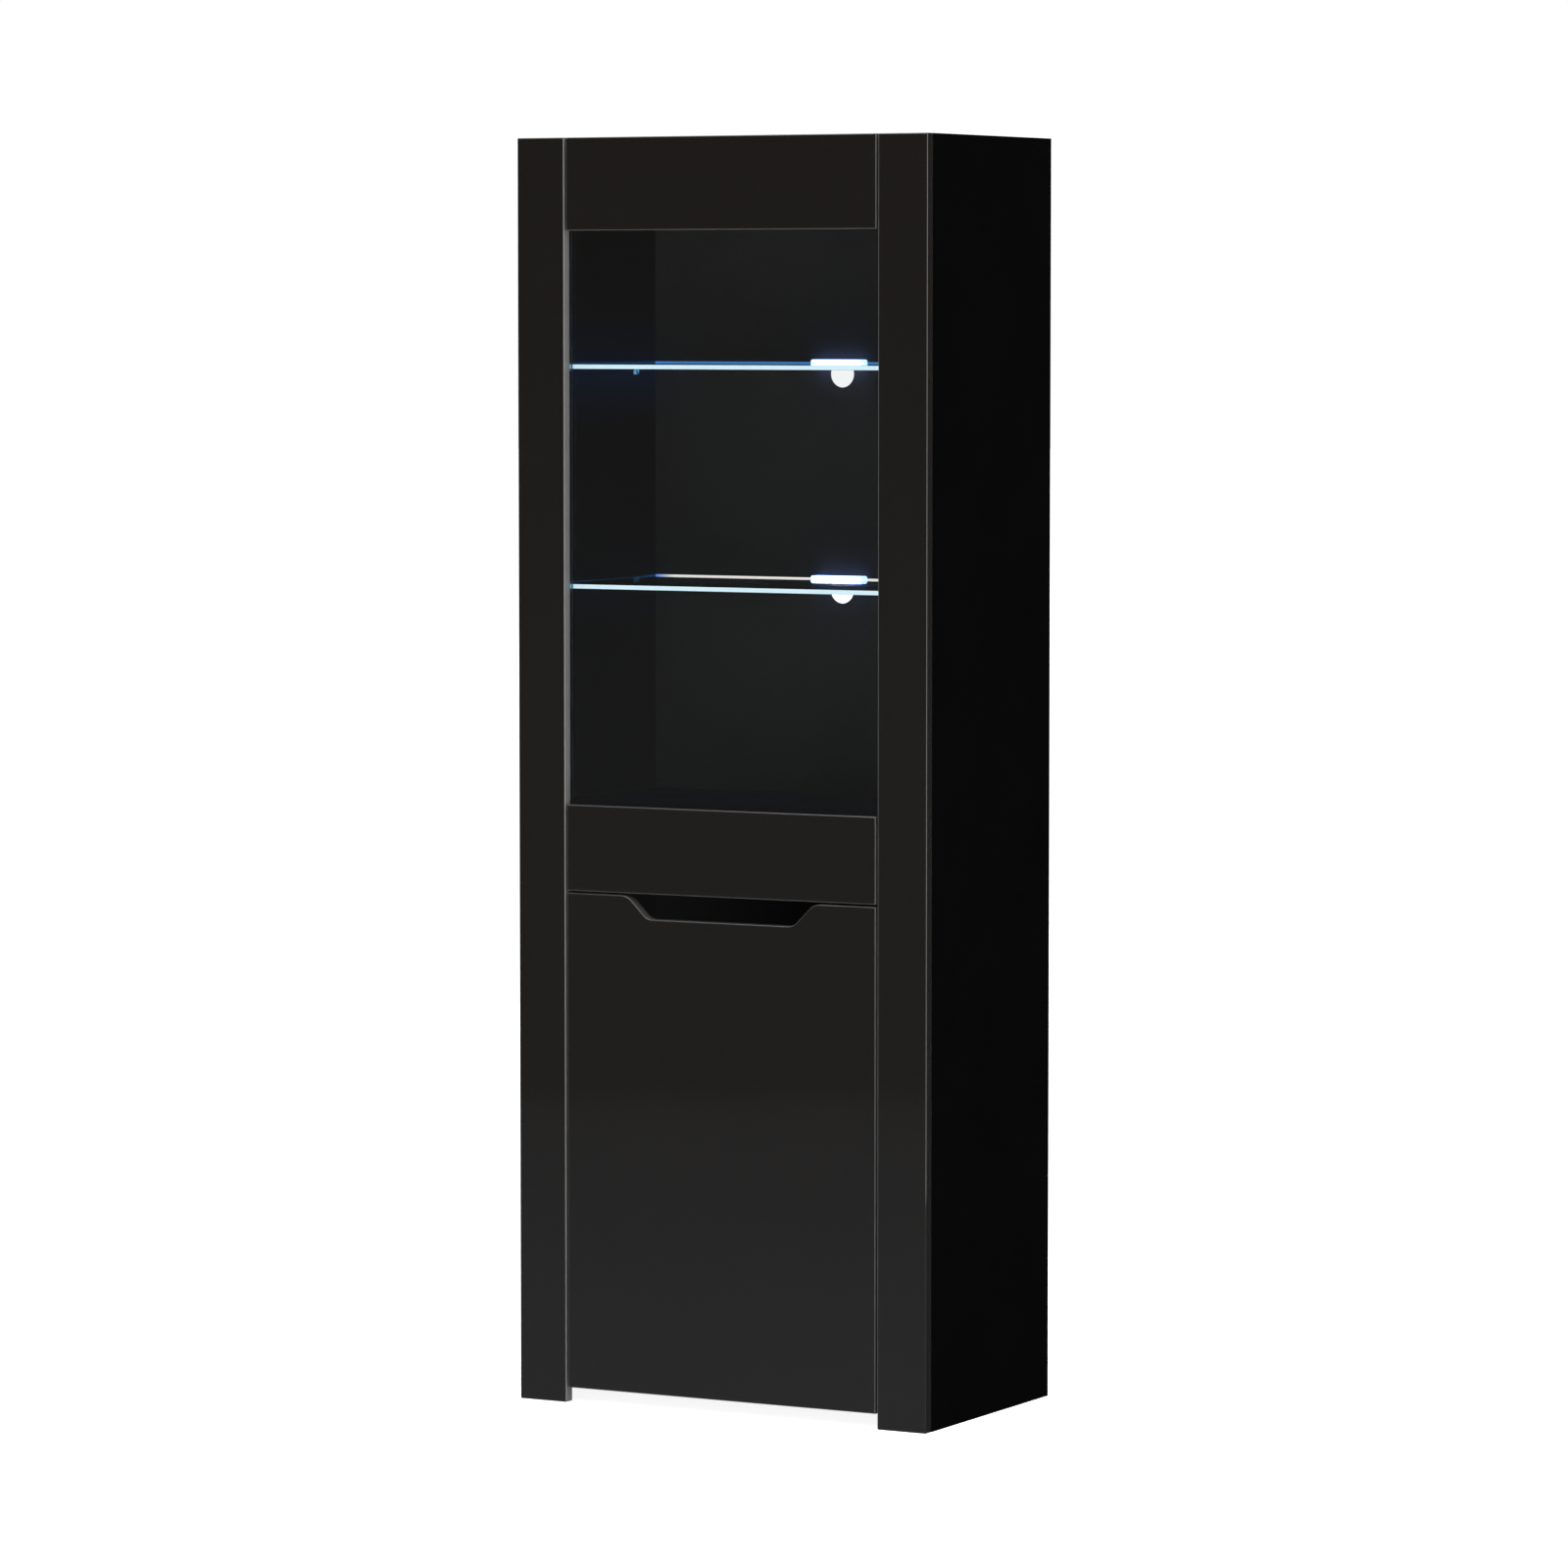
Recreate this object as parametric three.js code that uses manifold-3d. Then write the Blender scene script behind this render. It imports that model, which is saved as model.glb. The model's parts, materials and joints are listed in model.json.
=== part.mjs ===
// A tall china cabinet: a display space behind a glass door over a cupboard behind a solid door.
// Millimetres. +X points right as seen from the front, +Y goes in from the front and +Z is up.
// The origin is on the floor, under the middle of the cabinet. It is drawn with both doors shut.

import * as THREE from 'three';
import { mergeVertices } from 'three/addons/utils/BufferGeometryUtils.js';
import Module from 'manifold-3d';

const wasm = await Module();
wasm.setup();

// ---------------------------------------------------------------- Driving dimensions

// The whole cabinet
const cabinetWidth = 600;
const cabinetDepth = 350;
const cabinetHeight = 1650;

// Boards
const boardThickness = 16;
const frontThickness = 16;
const frontEdgeRound = 1.5;
const seam = 0.1;                 // between boards that butt together
const bumperGap = 2;              // between a shut door and the boards behind it

// Posts and doors
const postWidth = 70;
const doorGap = 3;
const doorFloorGap = 20;
const lowerDoorHeight = 650;
const topRailHeight = 120;
const bottomRailHeight = 112;

// Grip cut in the top edge of the lower door
const gripTopWidth = 275;
const gripBottomWidth = 215;
const gripDepth = 30;
const gripCornerRadius = 18;

// Glass of the upper door
const doorGlassThickness = 4;
const doorGlassLap = 30;          // height of glass held behind each rail
const glueLine = 0.3;
const retainerWidth = 24;
const retainerHeight = 22;
const retainerThickness = 1.6;
const retainerCornerRadius = 4;
const retainerInset = 70;         // from the door's side edges to the retainers

// Back boards, which slide in grooves
const backBoardThickness = 3;
const backBoardInset = 13;        // from the back of the cabinet to the back boards
const grooveDepth = 6;
const grooveClearance = 0.3;
const joinerFlange = 6;
const joinerWall = 1;

// Cable holes in the upper back board
const cableHoleDiameter = 36;
const cableHoleDrop = 14;         // from the top of a glass shelf down to the hole's centre

// Glass shelves
const glassShelfCount = 2;
const glassShelfThickness = 6;
const glassShelfFrontGap = 20;    // behind the fronts
const glassShelfRearGap = 4;      // in front of the back board
const glassShelfSideGap = 2;

// Wooden shelf in the cupboard
const woodenShelfFrontGap = 30;
const woodenShelfRearGap = 2;
const woodenShelfSideGap = 2;

// Shelf pins, glass supports and the holes that take them
const pinDiameter = 4.6;
const pinHoleDiameter = 5.2;
const pinHoleDepth = 9;
const pinLength = 8;              // length in the hole, and again outside it
const pinCollarDiameter = 8;
const pinCollarThickness = 1.2;
const pinHoleInset = 50;          // from a shelf's front and rear edges to its pins
const pinHolePitch = 32;
const pinHoleCount = 5;           // in each row of the cupboard
const supportWidth = 12;
const supportHeight = 9;
const supportReach = 11;
const supportWall = 2.5;
const restGap = 0.3;              // between a shelf and what it rests on

// Lights clipped on the rear edges of the glass shelves
const lightWidth = 77;
const lightRise = 5;              // above the glass
const lightDrop = 3;              // below the glass
const lightReach = 12;            // over the glass, from its rear edge
const lightCornerRadius = 3;
const lightWall = 1.2;
const lightGlassClearance = 0.3;
const stripWidth = 69;
const stripThickness = 1.2;
const stripClearance = 0.4;

// Hinges: cups in the doors, arms on plates behind the left post, links between them
const axisInset = 4;              // from a door's hinged edge to the hinge axis
const axisDepth = 4;              // from the front face to the hinge axis
const cupRadius = 17.5;
const cupDepth = 11.5;
const cupWall = 1;
const cupInset = 4;               // from the door's edge to the cup
const cupClearance = 0.3;
const cupBoreDepth = 12;
const cupRimRadius = 19.5;
const flangeThickness = 1.2;
const flangeHeight = 58;
const flangeInner = 6;            // from the cup's centre towards the hinged edge
const flangeOuter = 16;           // from the cup's centre away from it
const flangeCornerRadius = 5;
const lowerHingeInset = 100;      // from the ends of the lower door to its hinges
const armWidth = 22;
const armChannelWidth = 14;
const armSideGap = 6;             // from the side panel to the arm
const armDepth = 12;
const armStandOff = 3;            // from the post to the arm's cheeks
const armWeb = 2.7;
const armNose = 5;                // past the pivot
const pivotSetback = 12;          // from the post's edge to the links' pivot
const pivotDepth = 10;            // behind the post
const pivotRadius = 1.9;
const pivotClearance = 0.3;
const plateLength = 26;
const plateHeight = 48;
const plateThickness = 2;
const ribHeight = 13.4;
const ribDepth = 10;
const linkWidth = 12;
const linkThickness = 3;
const linkEyeRadius = 4;
const linkPinRadius = 1.8;
const linkPinLength = 16;
const linkSteps = 20;             // along the strap
const linkSwing = THREE.MathUtils.degToRad(28.5);

// Bumpers on the boards behind the doors
const bumperDiameter = 8;
const bumperThickness = 1.6;
const bumperInset = 12;           // from the door's free edge

// Brackets that tie the cabinet to a wall
const bracketWidth = 30;
const bracketLeg = 34;
const bracketThickness = 2;
const bracketHoleDiameter = 6;
const bracketHoleDrop = 20.4;     // from the top of the bracket to its hole
const bracketInset = 130;         // from the side panels

// Roundness
const roundSegments = 24;
const smallSegments = 12;
const cornerSegments = 5;
const edgeSegments = 2;

// ---------------------------------------------------------------- Worked-out places

const left = -cabinetWidth / 2;
const right = cabinetWidth / 2;
const front = -cabinetDepth / 2;
const rear = cabinetDepth / 2;

const innerLeft = left + boardThickness;
const innerRight = right - boardThickness;
const boardsFront = front + frontThickness;
const panelFront = boardsFront + bumperGap;

const backBoardRear = rear - backBoardInset;
const backBoardFront = backBoardRear - backBoardThickness;

const doorLeft = left + postWidth + doorGap;
const doorRight = right - postWidth - doorGap;
const doorWidth = doorRight - doorLeft;
const lowerDoorBottom = doorFloorGap;
const lowerDoorTop = lowerDoorBottom + lowerDoorHeight;
const upperDoorBottom = lowerDoorTop + doorGap;
const upperDoorHeight = cabinetHeight - upperDoorBottom;

const bottomPanelTop = doorFloorGap + boardThickness;
const displayFloor = upperDoorBottom + bottomRailHeight;
const displayCeiling = cabinetHeight - boardThickness;
const middlePanelBottom = displayFloor - boardThickness;
const joinerHeight = displayFloor - boardThickness / 2;

// The glass shelves divide the height from the display's floor to the top panel's middle.
const shelfPitch = Math.round((cabinetHeight - boardThickness / 2 - displayFloor) / (glassShelfCount + 1));
const glassShelfFront = boardsFront + glassShelfFrontGap;
const glassShelfRear = backBoardFront - glassShelfRearGap;
const glassShelves = ['lower', 'upper'].map((level, index) => ({
  level,
  top: displayFloor + shelfPitch * (index + 1),
}));

const woodenShelfFront = boardsFront + woodenShelfFrontGap;
const woodenShelfRear = backBoardFront - woodenShelfRearGap;
const woodenShelfBottom = Math.round((bottomPanelTop + middlePanelBottom - boardThickness) / 2);
const pinHoleZ = woodenShelfBottom - restGap - pinDiameter / 2;
const supportBelowGlass = glassShelfThickness + restGap;

const pinRows = (shelfFront, shelfRear) => [
  { place: 'front', y: shelfFront + pinHoleInset },
  { place: 'rear', y: shelfRear - pinHoleInset },
];
const woodenShelfRows = pinRows(woodenShelfFront, woodenShelfRear);
const glassShelfRows = pinRows(glassShelfFront, glassShelfRear);
const sides = [
  { place: 'left', x: innerLeft, inward: 1 },
  { place: 'right', x: innerRight, inward: -1 },
];

// Hinge places are measured from the hinge axis, with +x towards the door.
const axisX = doorLeft + axisInset;
const axisY = front + axisDepth;
const doorBack = frontThickness - axisDepth;
const postEdge = -axisInset - doorGap;
const cupCentre = cupInset + cupRadius - axisInset;
const pivotX = postEdge - pivotSetback;
const pivotY = doorBack + pivotDepth;
const armStart = postEdge - postWidth + boardThickness + armSideGap;

// The middle line of a link's strap when its door is fully open: from the pivot, out past the
// post, round the edge of the door, which then lies along y, and back into the cup.
const linkOpenRoute = [
  [pivotX, pivotY],
  [-1, pivotY - 0.5],
  [doorBack + 1, pivotY - 3.5],
  [doorBack + 7.5, pivotY - 12.5],
  [doorBack + 6, -3],
  [doorBack - 3.5, -8],
];

// ---------------------------------------------------------------- Shaping helpers

// A closed three.js geometry as a solid that can be joined and cut.
function solid(geometry) {
  const bare = geometry.clone();
  bare.deleteAttribute('normal');
  bare.deleteAttribute('uv');
  const merged = mergeVertices(bare, 1e-4);
  const mesh = new wasm.Mesh({
    numProp: 3,
    vertProperties: merged.attributes.position.array,
    triVerts: new Uint32Array(merged.index.array),
  });
  return new wasm.Manifold(mesh);
}

// A solid as a flat-shaded three.js geometry.
function surface(body) {
  const mesh = body.getMesh();
  const geometry = new THREE.BufferGeometry();
  geometry.setAttribute('position', new THREE.Float32BufferAttribute(mesh.vertProperties, 3));
  geometry.setIndex(new THREE.Uint32BufferAttribute(mesh.triVerts, 1));
  const faceted = geometry.toNonIndexed();
  faceted.computeVertexNormals();
  return faceted;
}

function cut(geometry, ...tools) {
  return surface(tools.reduce((body, tool) => body.subtract(solid(tool)), solid(geometry)));
}

function join(geometry, ...others) {
  return surface(others.reduce((body, other) => body.add(solid(other)), solid(geometry)));
}

// A box between two opposite corners.
function block(low, high) {
  const size = low.map((value, axis) => high[axis] - value);
  const centre = low.map((value, axis) => (value + high[axis]) / 2);
  return new THREE.BoxGeometry(...size).translate(...centre);
}

// A round bar along one axis, about a centre.
function bar(axis, radius, length, centre, segments = smallSegments) {
  const geometry = new THREE.CylinderGeometry(radius, radius, length, segments);
  if (axis === 'x') {
    geometry.rotateZ(Math.PI / 2);
  } else if (axis === 'z') {
    geometry.rotateX(Math.PI / 2);
  }
  return geometry.translate(...centre);
}

// Stands a shape drawn in x and z upright, with its thickness running from y = 0 to -thickness.
const uprightAlongY = new THREE.Matrix4().makeBasis(
  new THREE.Vector3(1, 0, 0),
  new THREE.Vector3(0, 0, 1),
  new THREE.Vector3(0, -1, 0),
);

function uprightPlate(shape, thickness, edgeRound = 0) {
  const geometry = new THREE.ExtrudeGeometry(shape, {
    depth: thickness - 2 * edgeRound,
    steps: 1,
    curveSegments: cornerSegments,
    bevelEnabled: edgeRound > 0,
    bevelThickness: edgeRound,
    bevelSize: edgeRound,
    bevelOffset: -edgeRound,
    bevelSegments: edgeSegments,
  });
  return geometry.translate(0, 0, edgeRound).applyMatrix4(uprightAlongY);
}

function rectangle(x0, x1, z0, z1) {
  const shape = new THREE.Shape();
  shape.moveTo(x0, z0);
  shape.lineTo(x1, z0);
  shape.lineTo(x1, z1);
  shape.lineTo(x0, z1);
  return shape;
}

function roundedRectangle(x0, x1, z0, z1, radius) {
  const shape = new THREE.Shape();
  shape.moveTo(x0 + radius, z0);
  shape.absarc(x1 - radius, z0 + radius, radius, -Math.PI / 2, 0);
  shape.absarc(x1 - radius, z1 - radius, radius, 0, Math.PI / 2);
  shape.absarc(x0 + radius, z1 - radius, radius, Math.PI / 2, Math.PI);
  shape.absarc(x0 + radius, z0 + radius, radius, Math.PI, 1.5 * Math.PI);
  return shape;
}

// ---------------------------------------------------------------- Scene helpers

const finishes = {
  glossBlack: { color: 0x1c1a18, roughness: 0.08, metalness: 0 },
  mattBlack: { color: 0x0c0c0c, roughness: 0.65, metalness: 0 },
  backBoard: { color: 0x141414, roughness: 0.8, metalness: 0 },
  glass: { color: 0xdfe9ea, roughness: 0.02, metalness: 0, transparent: true, opacity: 0.3 },
  nickel: { color: 0xb9b8b4, roughness: 0.28, metalness: 1 },
  zinc: { color: 0x9c9fa3, roughness: 0.42, metalness: 1 },
  lightBody: { color: 0xe8f4ff, roughness: 0.4, metalness: 0, emissive: 0x9fd4ff },
  circuit: { color: 0xf4f4ee, roughness: 0.5, metalness: 0, emissive: 0xd8ecff },
  clearPlastic: { color: 0xd9dcdc, roughness: 0.3, metalness: 0 },
  blackPlastic: { color: 0x151515, roughness: 0.5, metalness: 0 },
};

function addPiece(group, name, geometry, finish, position = [0, 0, 0]) {
  const mesh = new THREE.Mesh(geometry, new THREE.MeshStandardMaterial(finish));
  mesh.name = name;
  mesh.position.set(...position);
  group.add(mesh);
  return mesh;
}

function addGroup(parent, position) {
  const group = new THREE.Group();
  group.position.set(...position);
  parent.add(group);
  return group;
}

// ---------------------------------------------------------------- Carcass

function addSidePanel(group, side) {
  const outer = side.x - side.inward * boardThickness;
  const groove = side.x - side.inward * grooveDepth;
  const panel = block(
    [Math.min(outer, side.x), boardsFront + seam, 0],
    [Math.max(outer, side.x), rear, cabinetHeight],
  );
  const tools = [block(
    [Math.min(groove, side.x + side.inward), backBoardFront - grooveClearance, -1],
    [Math.max(groove, side.x + side.inward), backBoardRear + grooveClearance, cabinetHeight + 1],
  )];
  const drill = (y, z) => {
    const centre = [side.x, y, z];
    tools.push(bar('x', pinHoleDiameter / 2, 2 * pinHoleDepth, centre));
  };
  for (const row of woodenShelfRows) {
    for (let index = 0; index < pinHoleCount; index += 1) {
      drill(row.y, pinHoleZ + pinHolePitch * (index - (pinHoleCount - 1) / 2));
    }
  }
  for (const row of glassShelfRows) {
    for (const shelf of glassShelves) {
      drill(row.y, shelf.top - supportBelowGlass - supportHeight / 2);
    }
  }
  addPiece(group, `${side.place}_side_panel`, cut(panel, ...tools), finishes.mattBlack);
}

function addPosts(group) {
  const post = uprightPlate(rectangle(0, postWidth, 0, cabinetHeight), frontThickness, frontEdgeRound);
  addPiece(group, 'left_post', post, finishes.glossBlack, [left, boardsFront, 0]);
  addPiece(group, 'right_post', post.clone(), finishes.glossBlack, [right - postWidth, boardsFront, 0]);
}

function addCrossPanels(group) {
  const low = innerLeft + seam;
  const high = innerRight - seam;
  const topGroove = block(
    [low - 1, backBoardFront - grooveClearance, displayCeiling - 1],
    [high + 1, backBoardRear + grooveClearance, displayCeiling + grooveDepth],
  );
  const topPanel = block([low, panelFront, displayCeiling], [high, rear, cabinetHeight]);
  addPiece(group, 'top_panel', cut(topPanel, topGroove), finishes.mattBlack);
  const panelRear = backBoardFront - joinerWall - 2 * grooveClearance;
  const middlePanel = block([low, panelFront, middlePanelBottom], [high, panelRear, displayFloor]);
  addPiece(group, 'middle_panel', middlePanel, finishes.mattBlack);
  const bottomPanel = block([low, panelFront, doorFloorGap], [high, panelRear, bottomPanelTop]);
  addPiece(group, 'bottom_panel', bottomPanel, finishes.mattBlack);
}

function addBackBoards(group) {
  const sideReach = grooveDepth - grooveClearance;
  const low = innerLeft - sideReach;
  const high = innerRight + sideReach;
  const webTop = joinerHeight + joinerWall / 2 + grooveClearance;
  const webBottom = joinerHeight - joinerWall / 2 - grooveClearance;
  const upperBoard = block(
    [low, backBoardFront, webTop],
    [high, backBoardRear, displayCeiling + sideReach],
  );
  const holeRadius = cableHoleDiameter / 2;
  const holeY = (backBoardFront + backBoardRear) / 2;
  const cableHoles = glassShelves.map((shelf) => bar(
    'y', holeRadius, 4 * backBoardThickness, [0, holeY, shelf.top - cableHoleDrop], roundSegments,
  ));
  addPiece(group, 'upper_back_board', cut(upperBoard, ...cableHoles), finishes.backBoard);
  const lowerBoard = block([low, backBoardFront, doorFloorGap], [high, backBoardRear, webBottom]);
  addPiece(group, 'lower_back_board', lowerBoard, finishes.backBoard);

  // The joiner is an H section that the two boards stand in.
  const slotHalf = backBoardThickness / 2 + grooveClearance;
  const half = slotHalf + joinerWall;
  const rise = joinerFlange;
  const web = joinerWall / 2;
  const section = new THREE.Shape();
  const corners = [
    [-half, -rise], [-slotHalf, -rise], [-slotHalf, -web], [slotHalf, -web],
    [slotHalf, -rise], [half, -rise], [half, rise], [slotHalf, rise],
    [slotHalf, web], [-slotHalf, web], [-slotHalf, rise], [-half, rise],
  ];
  section.setFromPoints(corners.map(([y, z]) => new THREE.Vector2(y, z)));
  const length = innerRight - innerLeft - 2 * grooveClearance;
  const joiner = new THREE.ExtrudeGeometry(section, { depth: length, bevelEnabled: false });
  joiner.rotateX(Math.PI / 2);
  joiner.rotateZ(Math.PI / 2);
  const start = [-length / 2, holeY, joinerHeight];
  addPiece(group, 'back_board_joiner', joiner, finishes.blackPlastic, start);
}

// ---------------------------------------------------------------- Shelves

function addWoodenShelf(group) {
  const shelf = block(
    [innerLeft + woodenShelfSideGap, woodenShelfFront, woodenShelfBottom],
    [innerRight - woodenShelfSideGap, woodenShelfRear, woodenShelfBottom + boardThickness],
  );
  addPiece(group, 'wooden_shelf', shelf, finishes.mattBlack);
  for (const row of woodenShelfRows) {
    for (const side of sides) {
      addShelfPin(group, `shelf_pin_${row.place}_${side.place}`, side, row.y);
    }
  }
}

// A turned pin: a peg in the panel, a collar against it and a nose under the shelf.
function addShelfPin(group, name, side, y) {
  const peg = pinDiameter / 2;
  const collar = pinCollarDiameter / 2;
  const profile = [
    [0, -pinLength], [peg, -pinLength], [peg, restGap], [collar, restGap],
    [collar, restGap + pinCollarThickness], [peg, restGap + pinCollarThickness],
    [peg, pinLength], [0, pinLength],
  ];
  const turned = new THREE.LatheGeometry(profile.map(([r, h]) => new THREE.Vector2(r, h)), smallSegments);
  const pin = addPiece(group, name, turned, finishes.nickel, [side.x, y, pinHoleZ]);
  pin.rotation.z = -side.inward * Math.PI / 2;
}

function addGlassShelf(group, shelf) {
  const glass = block(
    [innerLeft + glassShelfSideGap, glassShelfFront, shelf.top - glassShelfThickness],
    [innerRight - glassShelfSideGap, glassShelfRear, shelf.top],
  );
  addPiece(group, `${shelf.level}_glass_shelf`, glass, finishes.glass);
  for (const row of glassShelfRows) {
    for (const side of sides) {
      const name = `${shelf.level}_glass_support_${row.place}_${side.place}`;
      addGlassSupport(group, name, side, row.y, shelf.top - supportBelowGlass);
    }
  }
}

// A support: a peg in the panel, a wall against it and a ledge under the glass.
function addGlassSupport(group, name, side, y, top) {
  const half = supportWidth / 2;
  const wall = block([restGap, -half, -supportHeight], [supportWall, half, 0]);
  const ledge = block([restGap, -half, -supportWall], [supportReach, half, 0]);
  const pegSpan = pinLength + supportWall / 2;
  const pegCentre = [supportWall / 2 - pegSpan / 2, 0, -supportHeight / 2];
  const peg = bar('x', pinDiameter / 2, pegSpan, pegCentre);
  const support = addPiece(group, name, join(wall, ledge, peg), finishes.nickel, [side.x, y, top]);
  support.rotation.z = side.inward > 0 ? 0 : Math.PI;
}

// ---------------------------------------------------------------- Shelf lights

function addShelfLight(group, shelf) {
  const light = addGroup(group, [0, glassShelfRear, shelf.top]);
  const half = lightWidth / 2;
  const slotRear = stripThickness + 2 * stripClearance;
  const outline = roundedRectangle(
    -half, half, -glassShelfThickness - lightDrop, lightRise, lightCornerRadius,
  );
  const body = uprightPlate(outline, lightReach + slotRear + lightWall);
  body.translate(0, slotRear + lightWall, 0);
  const slot = block(
    [-half - 1, -lightReach - 1, -glassShelfThickness - lightGlassClearance],
    [half + 1, slotRear, lightGlassClearance],
  );
  addPiece(light, `${shelf.level}_light_clip`, cut(body, slot), finishes.lightBody);
  const strip = block(
    [-stripWidth / 2, stripClearance, -glassShelfThickness],
    [stripWidth / 2, stripClearance + stripThickness, 0],
  );
  addPiece(light, `${shelf.level}_light_strip`, strip, finishes.circuit);
}

// ---------------------------------------------------------------- Hinges

// The cup: a pressed pot let into the door, with a rim and a flange on the door's rear face.
function addHingeCup(door, name, height) {
  const inner = cupRadius - cupWall;
  const profile = [
    [0, -cupDepth], [cupRadius, -cupDepth], [cupRadius, 0], [cupRimRadius, 0],
    [cupRimRadius, flangeThickness], [inner, flangeThickness], [inner, cupWall - cupDepth],
    [0, cupWall - cupDepth],
  ];
  const pot = new THREE.LatheGeometry(profile.map(([r, y]) => new THREE.Vector2(r, y)), roundSegments);
  const outline = roundedRectangle(
    -flangeInner, flangeOuter, -flangeHeight / 2, flangeHeight / 2, flangeCornerRadius,
  );
  const flange = uprightPlate(outline, flangeThickness).translate(0, flangeThickness, 0);
  const mouth = bar('y', inner, 4 * flangeThickness, [0, 0, 0], roundSegments);
  const ring = cut(flange, mouth);
  const seatedY = doorBack + seam;
  addPiece(door, name, join(pot, ring), finishes.nickel, [cupCentre, seatedY, height]);
}

// The bore that a cup sits in, for cutting out of a door.
function cupBore(height) {
  const length = 2 * cupBoreDepth;
  return bar('y', cupRadius + cupClearance, length, [cupCentre, doorBack, height], roundSegments);
}

// The arm: a channel that runs behind the post and ends in a fork round the links' pivot.
function addHingeArm(hinge, name) {
  const armEnd = pivotX + armNose;
  const forkStart = pivotX - armNose;
  const armFront = doorBack + armStandOff;
  const armRear = armFront + armDepth;
  const halfWidth = armWidth / 2;
  const halfChannel = armChannelWidth / 2;
  const body = block([armStart, armFront, -halfWidth], [armEnd, armRear, halfWidth]);
  const channel = block(
    [armStart - 1, armFront - 1, -halfChannel],
    [forkStart, armRear - armWeb, halfChannel],
  );
  const fork = block(
    [forkStart - 1, armFront - 1, -halfChannel],
    [armEnd + 1, armRear + 1, halfChannel],
  );
  const rivet = bar('z', pivotRadius, armWidth, [pivotX, pivotY, 0]);
  addPiece(hinge, name, join(cut(body, channel, fork), rivet), finishes.nickel);
}

// The mounting plate: two wings on the post and a rib that the arm clips over.
function addHingePlate(hinge, name) {
  const plateFront = doorBack + seam;
  const wings = block(
    [armStart, plateFront, -plateHeight / 2],
    [armStart + plateLength, plateFront + plateThickness, plateHeight / 2],
  );
  const rib = block(
    [armStart + 2, plateFront, -ribHeight / 2],
    [pivotX - armNose - restGap, plateFront + plateThickness + ribDepth - restGap, ribHeight / 2],
  );
  addPiece(hinge, name, join(wings, rib), finishes.nickel);
}

// The links, as one bent strap: its open route is turned back to where it lies with the door shut.
function addHingeLink(hinge, name) {
  const pivot = new THREE.Vector2(pivotX, pivotY);
  const shutRoute = linkOpenRoute.map(
    ([x, y]) => new THREE.Vector2(x, y).rotateAround(pivot, linkSwing),
  );
  const curve = new THREE.CatmullRomCurve3(
    shutRoute.map((point) => new THREE.Vector3(point.x, point.y, 0)), false, 'catmullrom',
  );
  const halfWidth = linkWidth / 2;
  const halfThickness = linkThickness / 2;
  const section = rectangle(-halfWidth, halfWidth, -halfThickness, halfThickness);
  const strap = new THREE.ExtrudeGeometry(section, { steps: linkSteps, extrudePath: curve });
  const eye = bar('z', linkEyeRadius, linkWidth, [pivotX, pivotY, 0], roundSegments);
  const end = shutRoute[shutRoute.length - 1];
  const cupPin = bar('z', linkPinRadius, linkPinLength, [end.x, end.y, 0]);
  const bore = bar('z', pivotRadius + pivotClearance, 2 * linkWidth, [pivotX, pivotY, 0]);
  const whole = solid(strap).add(solid(eye)).add(solid(cupPin)).subtract(solid(bore));
  addPiece(hinge, name, surface(whole), finishes.nickel);
}

// Everything of one hinge, with its door's group and the height of the hinge on the door.
function addHinge(group, door, name, height, doorBottom) {
  const hinge = addGroup(group, [axisX, axisY, doorBottom + height]);
  addHingeArm(hinge, `${name}_arm`);
  addHingePlate(hinge, `${name}_plate`);
  addHingeLink(hinge, `${name}_link`);
  addHingeCup(door, `${name}_cup`, height);
}

// ---------------------------------------------------------------- Doors

// The lower door's outline, with a rounded grip cut in the middle of its top edge.
function lowerDoorOutline(x0, x1) {
  const middle = (x0 + x1) / 2;
  const top = lowerDoorHeight;
  const slope = Math.atan2(gripDepth, (gripTopWidth - gripBottomWidth) / 2);
  const tangent = gripCornerRadius * Math.tan(slope / 2);
  const upperX = gripTopWidth / 2 + tangent;
  const lowerX = gripBottomWidth / 2 - tangent;
  const upperZ = top - gripCornerRadius;
  const lowerZ = top - gripDepth + gripCornerRadius;
  const quarter = Math.PI / 2;
  const shape = new THREE.Shape();
  shape.moveTo(x0, 0);
  shape.lineTo(x1, 0);
  shape.lineTo(x1, top);
  shape.absarc(middle + upperX, upperZ, gripCornerRadius, quarter, quarter + slope, false);
  shape.absarc(middle + lowerX, lowerZ, gripCornerRadius, slope - quarter, -quarter, true);
  shape.absarc(middle - lowerX, lowerZ, gripCornerRadius, -quarter, -quarter - slope, true);
  shape.absarc(middle - upperX, upperZ, gripCornerRadius, quarter - slope, quarter, false);
  shape.lineTo(x0, top);
  return shape;
}

function addLowerDoor(group) {
  const door = addGroup(group, [axisX, axisY, lowerDoorBottom]);
  const hinges = { bottom: lowerHingeInset, top: lowerDoorHeight - lowerHingeInset };
  const x0 = -axisInset;
  const panel = uprightPlate(lowerDoorOutline(x0, x0 + doorWidth), frontThickness, frontEdgeRound);
  panel.translate(0, doorBack, 0);
  const bores = Object.values(hinges).map(cupBore);
  addPiece(door, 'lower_door_panel', cut(panel, ...bores), finishes.glossBlack);
  for (const [place, height] of Object.entries(hinges)) {
    addHinge(group, door, `lower_door_${place}_hinge`, height, lowerDoorBottom);
  }
}

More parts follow.
